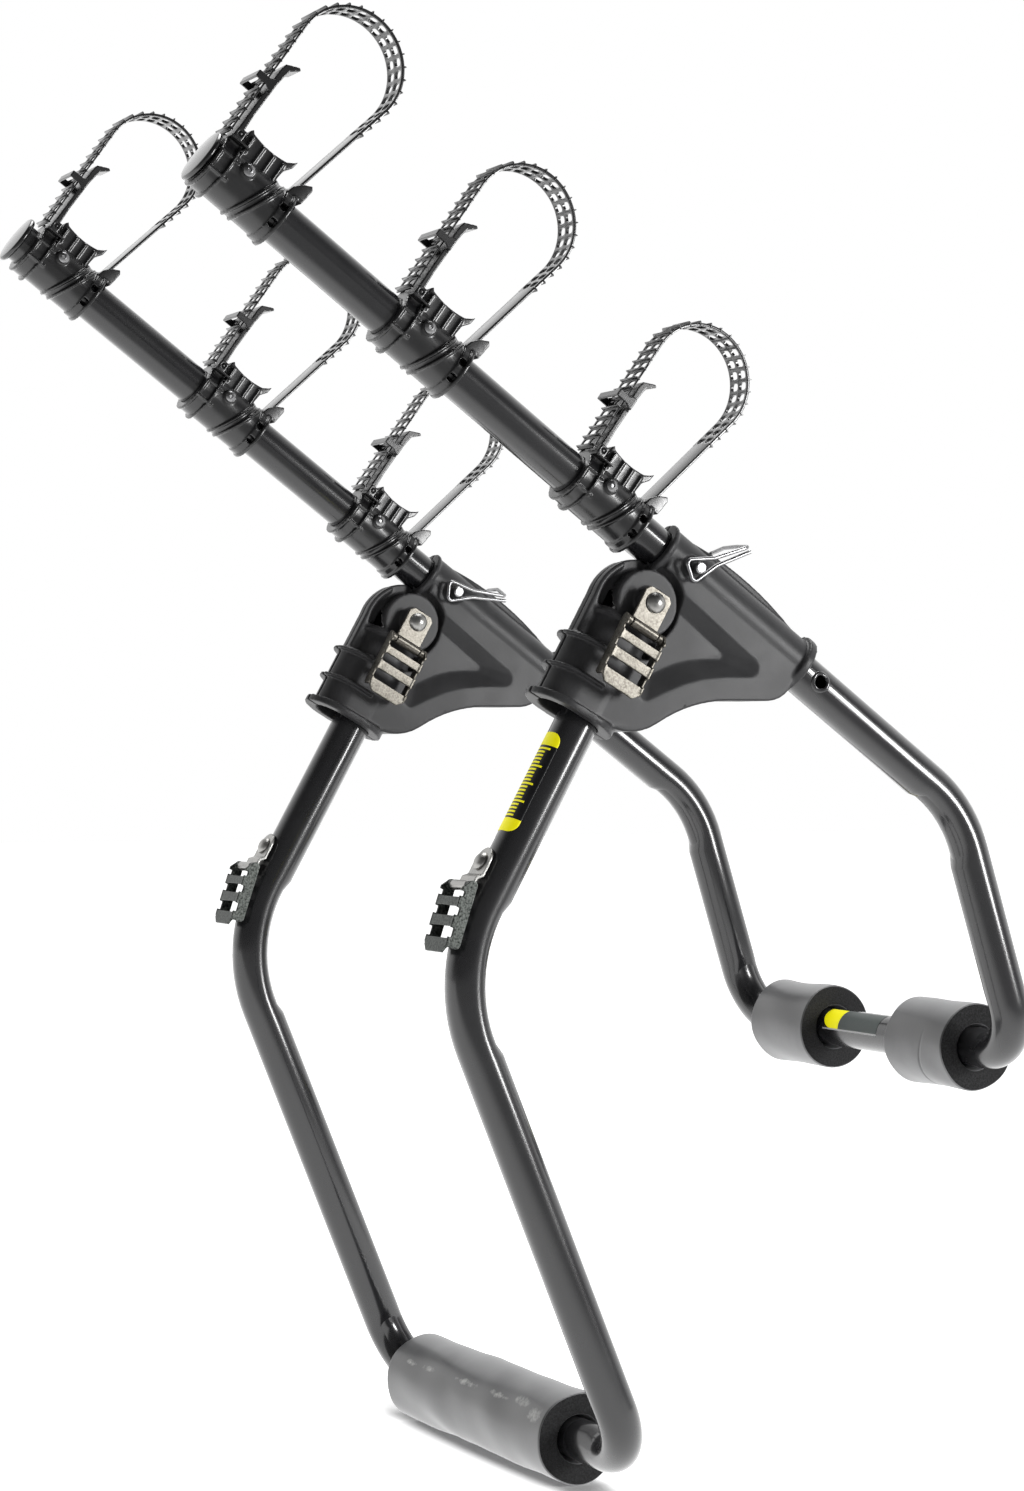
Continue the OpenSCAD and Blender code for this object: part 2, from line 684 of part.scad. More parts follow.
// Ladder frame: two side plates, a hinge bar in the tab's curl with a roll on each side of it,
// two rungs and a lip with clipped corners
module buckle_frame(side, face) {
    plate = 1.8;
    lean = face == "leg" ? leg_frame_lean : 0;
    depth = [3.4, 6.8];
    drop = 42;
    lip = [36.4, 46];
    roll_r = 3.3;
    roll_in = 10.9;
    half = frame_w / 2;
    lip_x = half - 1;
    color(zinc) buckle_place(side, face)
        translate([0, tab_step(face) + curl_r, -tab_len])
            rotate([-lean, 0, 0]) {
                rotate([0, 90, 0]) cylinder(h = frame_w - 1, r = bar_r, center = true);
                for (x = [-half, half - plate])
                    translate([x, 0, 0]) rotate([90, 0, 90]) linear_extrude(plate) plate_outline(depth, drop);
                for (rung = [[-12, 6], [-25, 7]])
                    translate([-half + 1, depth[1] - plate - 0.2, rung[0] - rung[1] / 2])
                        cube([frame_w - 2, plate, rung[1]]);
                for (x = [-lip_x, roll_in])
                    translate([x, 0, 0]) rotate([0, 90, 0]) cylinder(h = lip_x - roll_in, r = roll_r);
                translate([0, depth[1] - 0.2, 0]) rotate([90, 0, 0]) linear_extrude(plate) polygon([
                    [-lip_x, -lip[0]], [lip_x, -lip[0]], [lip_x, 4 - lip[1]],
                    [lip_x - 4, -lip[1]], [4 - lip_x, -lip[1]], [-lip_x, 4 - lip[1]],
                ]);
            }
}

// Bolts of the leg buckles, each with a domed head
module leg_buckle_bolts() {
    head_r = 6.5;
    dome_r = 8;
    color(bright) for (side = [RIGHT, LEFT]) on_leg_front(side) rotate([-90, 0, 0]) {
        translate([0, 0, -4]) cylinder(h = 4 + tab_t + 0.4, r = leg_bolt_r - 0.01);
        translate([0, 0, tab_t + 0.3]) rotate_extrude() intersection() {
            square([head_r, 4]);
            translate([0, -4]) circle(dome_r);
        }
    }
}

upper_frame_tube();
lower_frame_tube();
lower_pad();
cradle_screws();
leg_buckle_bolts();
for (side = [LEFT, RIGHT]) {
    s = side == LEFT ? "left" : "right";
    upper_pad(side);
    arm_cap(side);
    pivot_bolt(side);
    hitch_pin(side);
    pin_bail(side);
    for (n = [1:3]) {
        cradle(side, n);
        strap(side, n);
        clip(side, n);
    }
    for (f = ["outer", "inner"]) {
        face = (f == "outer" ? 1 : -1) * side;
        hub_half(side, face);
    }
    for (f = ["outer", "inner", "leg"]) {
        buckle_tab(side, f);
        buckle_frame(side, f);
    }
}
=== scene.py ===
import math

import bmesh
import bpy
import numpy as np
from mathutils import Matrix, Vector


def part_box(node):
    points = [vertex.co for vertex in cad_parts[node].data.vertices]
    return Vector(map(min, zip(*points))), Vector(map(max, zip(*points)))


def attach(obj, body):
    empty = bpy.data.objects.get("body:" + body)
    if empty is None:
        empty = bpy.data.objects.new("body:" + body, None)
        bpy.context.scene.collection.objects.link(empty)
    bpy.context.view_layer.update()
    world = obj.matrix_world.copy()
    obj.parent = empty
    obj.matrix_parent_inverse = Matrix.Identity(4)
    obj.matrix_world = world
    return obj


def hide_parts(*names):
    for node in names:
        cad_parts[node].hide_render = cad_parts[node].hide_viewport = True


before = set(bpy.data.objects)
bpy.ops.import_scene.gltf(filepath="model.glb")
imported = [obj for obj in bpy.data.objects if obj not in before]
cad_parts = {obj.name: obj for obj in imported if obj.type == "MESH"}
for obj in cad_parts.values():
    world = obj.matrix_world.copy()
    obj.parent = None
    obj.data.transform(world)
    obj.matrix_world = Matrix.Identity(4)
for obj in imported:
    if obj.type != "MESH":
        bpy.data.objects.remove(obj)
scene = bpy.context.scene
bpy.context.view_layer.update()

# Camera. A long lens from the rack's right front, level with its middle.
# The shift gives the frame that the photograph has.
camera = bpy.data.objects.new("camera", bpy.data.cameras.new("camera"))
camera.location = (-1.0283, -2.0253, 0.4710)
sight = Vector((0.4519, 0.8919, 0.0168))
camera.rotation_euler = sight.to_track_quat("-Z", "Y").to_euler()
camera.data.sensor_width = 36
camera.data.lens = 76.94
camera.data.shift_x = 0.00315
camera.data.shift_y = -0.0347
scene.collection.objects.link(camera)
scene.camera = camera
scene.view_settings.view_transform = "Standard"


# Studio. A pale floor that runs into a white background under a dark ceiling, a
# soft lamp overhead, and a smaller one at the right that draws a line on the tubes.
def mesh_object(name, points, faces, material):
    """A smooth mesh of points and of lists of faces, three or four corners each,
    with points that fall together made one and all faces turned outwards."""
    points = np.asarray(points, dtype=np.float64).reshape(-1, 3)
    lists = [np.asarray(f, dtype=np.int64) for f in (faces if isinstance(faces, list) else [faces])]
    mesh = bpy.data.meshes.new(name)
    mesh.from_pydata(points.tolist(), [], [c for f in lists for c in f.tolist()])
    work = bmesh.new()
    work.from_mesh(mesh)
    bmesh.ops.remove_doubles(work, verts=work.verts, dist=2e-6)
    bmesh.ops.recalc_face_normals(work, faces=work.faces)
    work.to_mesh(mesh)
    work.free()
    mesh.polygons.foreach_set("use_smooth", np.ones(len(mesh.polygons), bool))
    mesh.materials.append(material)
    made = bpy.data.objects.new(name, mesh)
    scene.collection.objects.link(made)
    return made


def grid_faces(rows, columns, close_rows=False, close_columns=False):
    """Quads between neighbouring points of a grid that is numbered row by row."""
    i, j = np.meshgrid(
        np.arange(rows if close_rows else rows - 1),
        np.arange(columns if close_columns else columns - 1),
        indexing="ij",
    )
    k, m = (i + 1) % rows, (j + 1) % columns
    return np.stack([i * columns + j, i * columns + m, k * columns + m, k * columns + j], -1).reshape(-1, 4)


floor_z, floor_reach, floor_points = -0.0322, 14, 5
roll_line, contact_zone, contact_glow = (1.0, 0.09, 0.0), (0.014, 0.030), (0.02, 0.95)
front_zone, front_mirrored = (-1.00, -0.30), (0.40, 1.35)
floor_white = bpy.data.materials.new("floor_white")
floor_white.use_nodes = True
nodes, links = floor_white.node_tree.nodes, floor_white.node_tree.links
nodes.clear()
out = nodes.new("ShaderNodeOutputMaterial")
ray = nodes.new("ShaderNodeLightPath")
place = nodes.new("ShaderNodeTexCoord")


def eased(nodes, low, high, start, end):
    """A value that eases from a start to an end between two limits."""
    ramp = nodes.new("ShaderNodeMapRange")
    ramp.interpolation_type = "SMOOTHSTEP"
    for socket, value in zip(("From Min", "From Max", "To Min", "To Max"), (low, high, start, end)):
        ramp.inputs[socket].default_value = value
    return ramp


# The camera sees the floor glow white, apart from the contact shadow along the lower
# roll's line; gloss sees it brighter towards the back, and all else sees it dull.
squeeze = nodes.new("ShaderNodeVectorMath")
squeeze.operation = "MULTIPLY"
squeeze.inputs[1].default_value = roll_line
links.new(place.outputs["Object"], squeeze.inputs[0])
spread = nodes.new("ShaderNodeVectorMath")
spread.operation = "LENGTH"
links.new(squeeze.outputs["Vector"], spread.inputs[0])
whiter = eased(nodes, *contact_zone, *contact_glow)
links.new(spread.outputs["Value"], whiter.inputs["Value"])
sides = nodes.new("ShaderNodeSeparateXYZ")
links.new(place.outputs["Object"], sides.inputs[0])
nearer = eased(nodes, *front_zone, *front_mirrored)
links.new(sides.outputs["Y"], nearer.inputs["Value"])
dull = nodes.new("ShaderNodeBsdfDiffuse")
dull.inputs["Color"].default_value = (0.80, 0.80, 0.80, 1)
mirrored = nodes.new("ShaderNodeEmission")
links.new(nearer.outputs[0], mirrored.inputs["Strength"])
pale = nodes.new("ShaderNodeBsdfDiffuse")
pale.inputs["Color"].default_value = (1, 1, 1, 1)
glow = nodes.new("ShaderNodeEmission")
links.new(whiter.outputs[0], glow.inputs["Strength"])
lit = nodes.new("ShaderNodeAddShader")
links.new(pale.outputs[0], lit.inputs[0])
links.new(glow.outputs[0], lit.inputs[1])
in_gloss = nodes.new("ShaderNodeMixShader")
links.new(ray.outputs["Is Glossy Ray"], in_gloss.inputs[0])
links.new(dull.outputs[0], in_gloss.inputs[1])
links.new(mirrored.outputs[0], in_gloss.inputs[2])
in_view = nodes.new("ShaderNodeMixShader")
links.new(ray.outputs["Is Camera Ray"], in_view.inputs[0])
links.new(in_gloss.outputs[0], in_view.inputs[1])
links.new(lit.outputs[0], in_view.inputs[2])
links.new(in_view.outputs[0], out.inputs["Surface"])
reach = np.linspace(-floor_reach, floor_reach, floor_points)
floor_x, floor_y = np.meshgrid(reach, reach, indexing="ij")
floor_net = np.stack([floor_x, floor_y, np.full_like(floor_x, floor_z)], -1)
floor = mesh_object("studio_floor", floor_net, grid_faces(floor_points, floor_points), floor_white)
if floor.data.polygons[0].normal.z < 0:
    floor.data.flip_normals()

back_side, back_zone, back_light = (0.35, 1.0, 0.0), (-0.30, 0.35), (0.14, 1.0)
ceiling_zone, ceiling_light = (0.45, 0.85), (1.0, 0.20)
world = bpy.data.worlds.new("studio_air")
scene.world = world
world.use_nodes = True
nodes, links = world.node_tree.nodes, world.node_tree.links
nodes.clear()
out = nodes.new("ShaderNodeOutputWorld")
ray = nodes.new("ShaderNodeLightPath")
place = nodes.new("ShaderNodeTexCoord")
parts = nodes.new("ShaderNodeSeparateXYZ")
links.new(place.outputs["Generated"], parts.inputs[0])
behind = nodes.new("ShaderNodeVectorMath")
behind.operation = "DOT_PRODUCT"
behind.inputs[1].default_value = back_side
links.new(place.outputs["Generated"], behind.inputs[0])
backdrop = eased(nodes, *back_zone, *back_light)
links.new(behind.outputs["Value"], backdrop.inputs["Value"])
ceiling = eased(nodes, *ceiling_zone, *ceiling_light)
links.new(parts.outputs["Z"], ceiling.inputs["Value"])
room = nodes.new("ShaderNodeMath")
room.operation = "MULTIPLY"
links.new(backdrop.outputs[0], room.inputs[0])
links.new(ceiling.outputs[0], room.inputs[1])
air = nodes.new("ShaderNodeBackground")
air.inputs["Color"].default_value = (1, 1, 1, 1)
links.new(room.outputs[0], air.inputs["Strength"])
white = nodes.new("ShaderNodeBackground")
white.inputs["Color"].default_value = (1, 1, 1, 1)
pick = nodes.new("ShaderNodeMixShader")
links.new(ray.outputs["Is Camera Ray"], pick.inputs[0])
links.new(air.outputs[0], pick.inputs[1])
links.new(white.outputs[0], pick.inputs[2])
links.new(pick.outputs[0], out.inputs["Surface"])


def soft_lamp(name, at, aim, width, height, power):
    """A soft rectangular lamp that faces a point."""
    lamp = bpy.data.lights.new(name, "AREA")
    lamp.shape = "RECTANGLE"
    lamp.size, lamp.size_y, lamp.energy = width, height, power
    holder = bpy.data.objects.new(name, lamp)
    holder.location = at
    holder.rotation_euler = (Vector(aim) - Vector(at)).to_track_quat("-Z", "Y").to_euler()
    scene.collection.objects.link(holder)


middle = (0.0, 0.0, 0.45)
soft_lamp("lamp_overhead", (0.5, 0.7, 2.9), middle, width=1.6, height=1.6, power=44)
soft_lamp("lamp_right", (1.33, -1.80, 0.62), middle, width=0.46, height=0.80, power=27)


# Bent tubes. Two round steel tubes, bent cold and coated black: one makes both
# arms, the upper legs and the upper crossbar, the other both lower legs and theirs.
def bent_line(corners, radii, turn=0.06, run_out=0.0):
    """Points, headings and inward directions along straight runs joined by arcs,
    where each corner gives way to the arc of its radius that touches both runs.
    The inward direction points to an arc's centre, and is none on a straight run,
    from a run-out past the arc's end onwards."""
    corners = np.asarray(corners, float)
    runs = np.diff(corners, axis=0)
    runs /= np.linalg.norm(runs, axis=1, keepdims=True)
    points, headings, inwards = [corners[:1]], [runs[:1]], [np.zeros((1, 3))]
    for corner, radius, a, b in zip(corners[1:-1], radii[1:-1], runs[:-1], runs[1:]):
        angle = math.acos(np.clip(a @ b, -1, 1))
        start = corner - radius * math.tan(angle / 2) * a
        inward = b - a * (a @ b)
        inward /= np.linalg.norm(inward)
        swing = np.linspace(0, angle, max(4, int(angle / turn)))[:, None]
        arc_points = start + radius * (np.sin(swing) * a + (1 - np.cos(swing)) * inward)
        points += [start[None] - run_out * a, arc_points, arc_points[-1:] + run_out * b]
        headings += [a[None], np.cos(swing) * a + np.sin(swing) * inward, b[None]]
        inwards += [np.zeros((1, 3)), np.cos(swing) * inward - np.sin(swing) * a, np.zeros((1, 3))]
    points.append(corners[-1:])
    headings.append(runs[-1:])
    inwards.append(np.zeros((1, 3)))
    return np.concatenate(points), np.concatenate(headings), np.concatenate(inwards)


def carried(points, headings, profile, across):
    """A profile carried along a path: its two coordinates are laid off along two
    directions square to the path, the first as near as can be to `across`."""
    across = np.broadcast_to(np.asarray(across, float), headings.shape)
    first = across - (across * headings).sum(1, keepdims=True) * headings
    first /= np.linalg.norm(first, axis=1, keepdims=True)
    second = np.cross(headings, first)
    return points[:, None] + profile[None, :, :1] * first[:, None] + profile[None, :, 1:] * second[:, None]


def ring(radius, count):
    """A circle as a closed profile."""
    a = np.linspace(0, 2 * math.pi, count, endpoint=False)
    return radius * np.stack([np.cos(a), np.sin(a)], -1)


def copies(faces, points_each, count):
    """Faces of a shape that is made several times, each copy numbered after the last."""
    return np.concatenate([faces + k * points_each for k in range(count)])


def finish(name, dark, light, patch, rough, grain, height, **shader):
    """A worked surface: its colour and roughness drift between two values over
    patches of one size, and a finer grain stands out of it by a height."""
    made = bpy.data.materials.new(name)
    made.use_nodes = True
    nodes, links = made.node_tree.nodes, made.node_tree.links
    skin = nodes["Principled BSDF"]
    place = nodes.new("ShaderNodeTexCoord")
    cloud = nodes.new("ShaderNodeTexNoise")
    cloud.inputs["Scale"].default_value = 1 / patch
    cloud.inputs["Detail"].default_value = 6
    links.new(place.outputs["Object"], cloud.inputs["Vector"])
    tint = nodes.new("ShaderNodeValToRGB")
    tint.name = "tint"
    tint.color_ramp.elements[0].position, tint.color_ramp.elements[1].position = 0.32, 0.70
    tint.color_ramp.elements[0].color = (*dark, 1)
    tint.color_ramp.elements[1].color = (*light, 1)
    links.new(cloud.outputs["Fac"], tint.inputs["Fac"])
    links.new(tint.outputs["Color"], skin.inputs["Base Color"])
    polish = nodes.new("ShaderNodeMapRange")
    polish.inputs["From Min"].default_value, polish.inputs["From Max"].default_value = 0.3, 0.7
    polish.inputs["To Min"].default_value, polish.inputs["To Max"].default_value = rough
    links.new(cloud.outputs["Fac"], polish.inputs["Value"])
    links.new(polish.outputs[0], skin.inputs["Roughness"])
    fine = nodes.new("ShaderNodeTexNoise")
    fine.inputs["Scale"].default_value = 1 / grain
    fine.inputs["Detail"].default_value = 3
    links.new(place.outputs["Object"], fine.inputs["Vector"])
    bump = nodes.new("ShaderNodeBump")
    bump.inputs["Distance"].default_value = height
    links.new(fine.outputs["Fac"], bump.inputs["Height"])
    links.new(bump.outputs["Normal"], skin.inputs["Normal"])
    for socket, value in shader.items():
        skin.inputs[socket.replace("_", " ")].default_value = value
    return made


black_coat = finish(
    "black_coat", (0.014, 0.014, 0.016), (0.021, 0.021, 0.023), patch=0.05, rough=(0.22, 0.30),
    grain=0.0020, height=0.000001, Coat_Weight=1.0, Coat_Roughness=0.12,
)
tube_r, tube_wall, tube_sides, half_span = 0.0143, 0.002, 48, 0.182
upper_bend, knee_bend, crossbar_bend = 0.090, 0.105, 0.040
flattened, pressed_run_out = 0.0031, 0.009
below_knee, below_knee_lean = 0.351, 67.3
above_knee, leg_lean, leg_end = 0.317, 60.6, 0.0315
arm_run, arm_lean = 0.402, 36
upper_leg, upper_fall, fall_lean = 0.293, 0.181, 72.5


def slope(length, degrees):
    """A run of a length at an angle over the horizontal, in the plane of a side."""
    return length * np.array([math.cos(math.radians(degrees)), 0, math.sin(math.radians(degrees))])


knee = slope(below_knee, 180 - below_knee_lean)
crossing = knee + slope(above_knee, leg_lean)
leg_top = crossing - slope(leg_end, leg_lean)
arm_end = crossing + slope(arm_run, 180 - arm_lean)
leg_bend = crossing + slope(upper_leg, -arm_lean)
upper_bar = leg_bend + slope(upper_fall, -fall_lean)
arm_x, arm_z = slope(1, -arm_lean), slope(1, 90 - arm_lean)


def on_arm(side, x, y, z):
    """Points given along the arm, across it and off it, on one side of the rack."""
    x, y, z = np.broadcast_arrays(x, y, z)
    aside = (y[..., None] + side * half_span) * np.array([0, 1, 0])
    return crossing + x[..., None] * arm_x + z[..., None] * arm_z + aside


def bent_tube(name, right, radii, across):
    """A tube on one path, out along its outside and back along its bore; the
    inside of each bend is pressed a little flat, as a bending former leaves it."""
    left = np.asarray(right)[::-1] * [1, -1, 1]
    corners = np.concatenate([np.asarray(right), left])
    points, headings, inwards = bent_line(corners, radii + radii[::-1], run_out=pressed_run_out)
    outside = carried(points, headings, ring(tube_r, tube_sides), across)
    facing = ((outside - points[:, None]) * inwards[:, None]).sum(-1) / tube_r
    outside = outside - flattened * np.clip(facing, 0, 1)[..., None] ** 2 * inwards[:, None]
    bore = carried(points, headings, ring(tube_r - tube_wall, tube_sides), across)
    rows = np.concatenate([outside, bore[::-1]])
    return mesh_object(name, rows, grid_faces(len(rows), tube_sides, True, True), black_coat)


across_rack = np.array([0, half_span, 0])
upper_path = [p - across_rack for p in (arm_end, leg_bend, upper_bar)]
upper_tube = bent_tube("upper_tube", upper_path, [0, upper_bend, crossbar_bend], arm_z)
lower_path = [p - across_rack for p in (leg_top, knee, np.zeros(3))]
lower_tube = bent_tube("lower_tube", lower_path, [0, knee_bend, crossbar_bend], (1, 0, 0))
second_hole, second_hole_r, hole_sides, drill_reach = 0.144, 0.0048, 40, 0.03
for side in (-1, 1):
    ends = np.stack([on_arm(side, second_hole, y, 0.0) for y in (-drill_reach, drill_reach)])
    rod = carried(ends, np.tile([[0.0, 1, 0]], (2, 1)), ring(second_hole_r, hole_sides), (1, 0, 0))
    tips = np.concatenate([ends[:1], rod[0], rod[1], ends[1:]])
    near = 1 + np.arange(hole_sides)
    after = 1 + near % hole_sides
    lids = [
        np.stack([np.zeros(hole_sides, int), after, near], -1),
        np.stack([np.full(hole_sides, len(tips) - 1), near + hole_sides, after + hole_sides], -1),
    ]
    wall = 1 + grid_faces(2, hole_sides, False, True)
    cutter = mesh_object("hole_cutter", tips, lids + [wall], black_coat)
    cut = upper_tube.modifiers.new("second_hole", "BOOLEAN")
    cut.object, cut.solver = cutter, "EXACT"
    drilled = bpy.data.meshes.new_from_object(upper_tube.evaluated_get(bpy.context.evaluated_depsgraph_get()))
    upper_tube.modifiers.clear()
    upper_tube.data = drilled
    bpy.data.objects.remove(cutter)
rim_r, rim_t, rim_height, rim_turns, rim_sides = 0.0060, 0.0015, 0.6, 48, 16
around, section = np.meshgrid(
    np.linspace(0, 2 * math.pi, rim_turns, endpoint=False),
    np.linspace(0, 2 * math.pi, rim_sides, endpoint=False),
    indexing="ij",
)
rim_out = rim_r + rim_t * np.cos(section)
rim_x, rim_z = rim_out * np.cos(around), rim_out * np.sin(around)
rim_y = np.sqrt(tube_r**2 - rim_z**2) + rim_height * rim_t * np.sin(section)
rims = np.stack([
    on_arm(side, second_hole + rim_x, face * rim_y, rim_z) for side in (-1, 1) for face in (-1, 1)
])
rim_faces = copies(grid_faces(rim_turns, rim_sides, True, True), rim_turns * rim_sides, len(rims))
hole_rims = mesh_object("second_hole_rims", rims, rim_faces, black_coat)
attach(hole_rims, "rack")
for tube, body, node in (
    (upper_tube, "rack", "upper_frame_tube"),
    (lower_tube, "lower_frame", "lower_frame_tube"),
):
    tube.data.set_sharp_from_angle(angle=math.radians(40))
    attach(tube, body)
    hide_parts(node)

# Foam rolls. Closed-cell rubber foam pushed over the crossbars, with a smooth
# skin that marks and dents, and open black cells where the rolls were cut off.
foam_r, foam_bore, foam_mouth, foam_rim = 0.03175, 0.01435, 0.0172, 0.0012
skin_rows, skin_sides, end_rings, rim_rows = 150, 96, 4, 7
wave_count, wave_height, settled = 9, 0.00016, 0.0003
crease_bow, crease_depth, crease_w = 0.008, 0.0007, 0.0009
# Painted shade on the rolls' outer front: how dark it is at most, the turn of its middle and its width.
shade_most, shade_turn, shade_width = 0.85, 24, 30
end_facing = 0.93
scuff_grain, scuff_edge = 0.0065, (0.34, 0.56)
# The near black of the painted shade, and the pale grey of the scuffs.
painted_shade_black, scuffed_grey = (0.050, 0.050, 0.050, 1), (0.52, 0.52, 0.50, 1)
foam_skin = finish(
    "foam_skin", (0.140, 0.141, 0.147), (0.225, 0.226, 0.234), patch=0.020, rough=(0.40, 0.55),
    grain=0.0011, height=0.00003,
    Specular_IOR_Level=0.6, Coat_Weight=0.9, Coat_IOR=1.6, Coat_Roughness=0.34,
)
# The skin has painted shade, a darker band round its outer front, and is ragged and pale where it is scuffed.
nodes, links = foam_skin.node_tree.nodes, foam_skin.node_tree.links
painted_shade = nodes.new("ShaderNodeAttribute")
painted_shade.attribute_name = "painted_shade"
darker = nodes.new("ShaderNodeMix")
darker.data_type = "RGBA"
links.new(painted_shade.outputs["Fac"], darker.inputs["Factor"])
links.new(nodes["tint"].outputs["Color"], darker.inputs[6])
darker.inputs[7].default_value = painted_shade_black
worn = nodes.new("ShaderNodeAttribute")
worn.attribute_name = "worn"
ragged = nodes.new("ShaderNodeTexNoise")
ragged.inputs["Scale"].default_value = 1 / scuff_grain
ragged.inputs["Detail"].default_value = 9
ragged.inputs["Roughness"].default_value = 0.68
where = nodes.new("ShaderNodeTexCoord")
links.new(where.outputs["Object"], ragged.inputs["Vector"])
amount = nodes.new("ShaderNodeMath")
amount.operation = "MULTIPLY"
links.new(worn.outputs["Fac"], amount.inputs[0])
links.new(ragged.outputs["Fac"], amount.inputs[1])
edge = nodes.new("ShaderNodeMapRange")
edge.inputs["From Min"].default_value, edge.inputs["From Max"].default_value = scuff_edge
links.new(amount.outputs[0], edge.inputs["Value"])
scuffed = nodes.new("ShaderNodeMix")
scuffed.data_type = "RGBA"
links.new(edge.outputs[0], scuffed.inputs["Factor"])
links.new(darker.outputs[2], scuffed.inputs[6])
scuffed.inputs[7].default_value = scuffed_grey
links.new(scuffed.outputs[2], nodes["Principled BSDF"].inputs["Base Color"])
foam_cut = finish(
    "foam_cut", (0.004, 0.004, 0.004), (0.040, 0.040, 0.042), patch=0.0011, rough=(0.85, 0.95),
    grain=0.0008, height=0.0006,
)


def foam_roll(node, body, seed, crease=0.0, scuffs=()):
    """A closed profile of skin, rims, cut ends and a bore that widens to its mouths,
    swung round the crossbar; the radius drifts by a few waves along and around the
    roll, and a crease, if any, runs round the lower front at its share of the length.
    Painted shade darkens its outer front, as a bell of the turn round it, and each scuff
    is a bell over a place along the roll, a turn round it and two widths."""
    low, high = (np.array(corner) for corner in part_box(node))
    y0, y1 = low[1], high[1]
    centre = (low + high) / 2
    quarter = np.linspace(0, math.pi / 2, rim_rows)
    body_y = np.linspace(y0 + foam_rim, y1 - foam_rim, skin_rows)
    mouth = np.array([0, 0.001, 0.004, 0.009])
    mouth_r = np.array([foam_mouth, foam_mouth - 0.0006, foam_mouth - 0.0012, foam_bore])
    profile_y = np.concatenate([
        y0 + mouth[::-1], np.full(end_rings, y0), y0 + foam_rim * (1 - np.cos(quarter)), body_y[1:-1],
        y1 - foam_rim * (1 - np.sin(quarter)), np.full(end_rings, y1), y1 - mouth,
    ])
    cut_r = np.linspace(foam_mouth, foam_r - foam_rim, end_rings + 2)[1:-1]
    profile_r = np.concatenate([
        mouth_r[::-1], cut_r, foam_r - foam_rim * (1 - np.sin(quarter)), np.full(skin_rows - 2, foam_r),
        foam_r - foam_rim * (1 - np.cos(quarter)), cut_r[::-1], mouth_r,
    ])
    angle = np.linspace(0, 2 * math.pi, skin_sides, endpoint=False)
    y, a = np.meshgrid(profile_y, angle, indexing="ij")
    draw = np.random.default_rng(seed)
    waves = np.zeros_like(y)
    for _ in range(wave_count):
        turns = int(draw.integers(1, 6))
        height, length, phase = draw.normal(), draw.uniform(0.03, 0.16), draw.uniform(0, 6.3)
        waves += height * np.sin(2 * math.pi * y / length + turns * a + phase)
    share = np.clip((profile_r - foam_bore) / (foam_r - foam_bore), 0, 1)[:, None]
    r = profile_r[:, None] + share * (waves * wave_height - settled)
    if crease:
        bow = y0 + crease * (y1 - y0) - crease_bow * np.sin(a)
        front = np.clip(-np.cos(a) + 0.2, 0, 1) * np.clip(0.45 - np.sin(a), 0, 1)
        r = r - share * crease_depth * front * np.exp(-(((y - bow) / crease_w) ** 2))
    points = np.stack([centre[0] + r * np.cos(a), y, centre[2] + r * np.sin(a)], -1)
    faces = grid_faces(len(profile_y), skin_sides, True, True)
    roll = mesh_object(node.replace("pad", "roll"), points, faces, foam_skin)
    roll.data.materials.append(foam_cut)
    normals = np.empty(3 * len(roll.data.polygons))
    roll.data.polygons.foreach_get("normal", normals)
    cut = np.abs(normals.reshape(-1, 3)[:, 1]) > end_facing
    roll.data.polygons.foreach_set("material_index", cut.astype(np.int32))
    skin = np.empty(3 * len(roll.data.vertices))
    roll.data.vertices.foreach_get("co", skin)
    skin = skin.reshape(-1, 3) - [centre[0], 0, centre[2]]
    turn = np.degrees(np.arctan2(skin[:, 2], -skin[:, 0]))
    worn = np.zeros(len(skin), np.float32)
    for place, at, wide, tall in scuffs:
        bell = np.exp(-(((skin[:, 1] - place) / wide) ** 2) - ((turn - at) / tall) ** 2)
        worn = np.maximum(worn, bell)
    # Painted shade: the colour is darkened in a band round the roll's outer front.
    painted_shade = shade_most * np.exp(-(((turn - shade_turn) / shade_width) ** 2))
    for name, values in (("worn", worn), ("painted_shade", painted_shade)):
        kept = roll.data.attributes.new(name, "FLOAT", "POINT")
        kept.data.foreach_set("value", values.astype(np.float32))
    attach(roll, body)
    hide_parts(node)


lower_scuffs = (
    (-0.066, 42, 0.018, 11), (-0.090, 31, 0.018, 15), (-0.030, 38, 0.024, 7),
    (0.020, 37, 0.028, 7), (0.080, 35, 0.018, 7), (0.110, 34, 0.014, 6),
)
foam_roll("lower_pad", "lower_frame", seed=3, scuffs=lower_scuffs)
foam_roll("upper_pad_right", "rack", seed=5, crease=0.36)
foam_roll("upper_pad_left", "rack", seed=8)


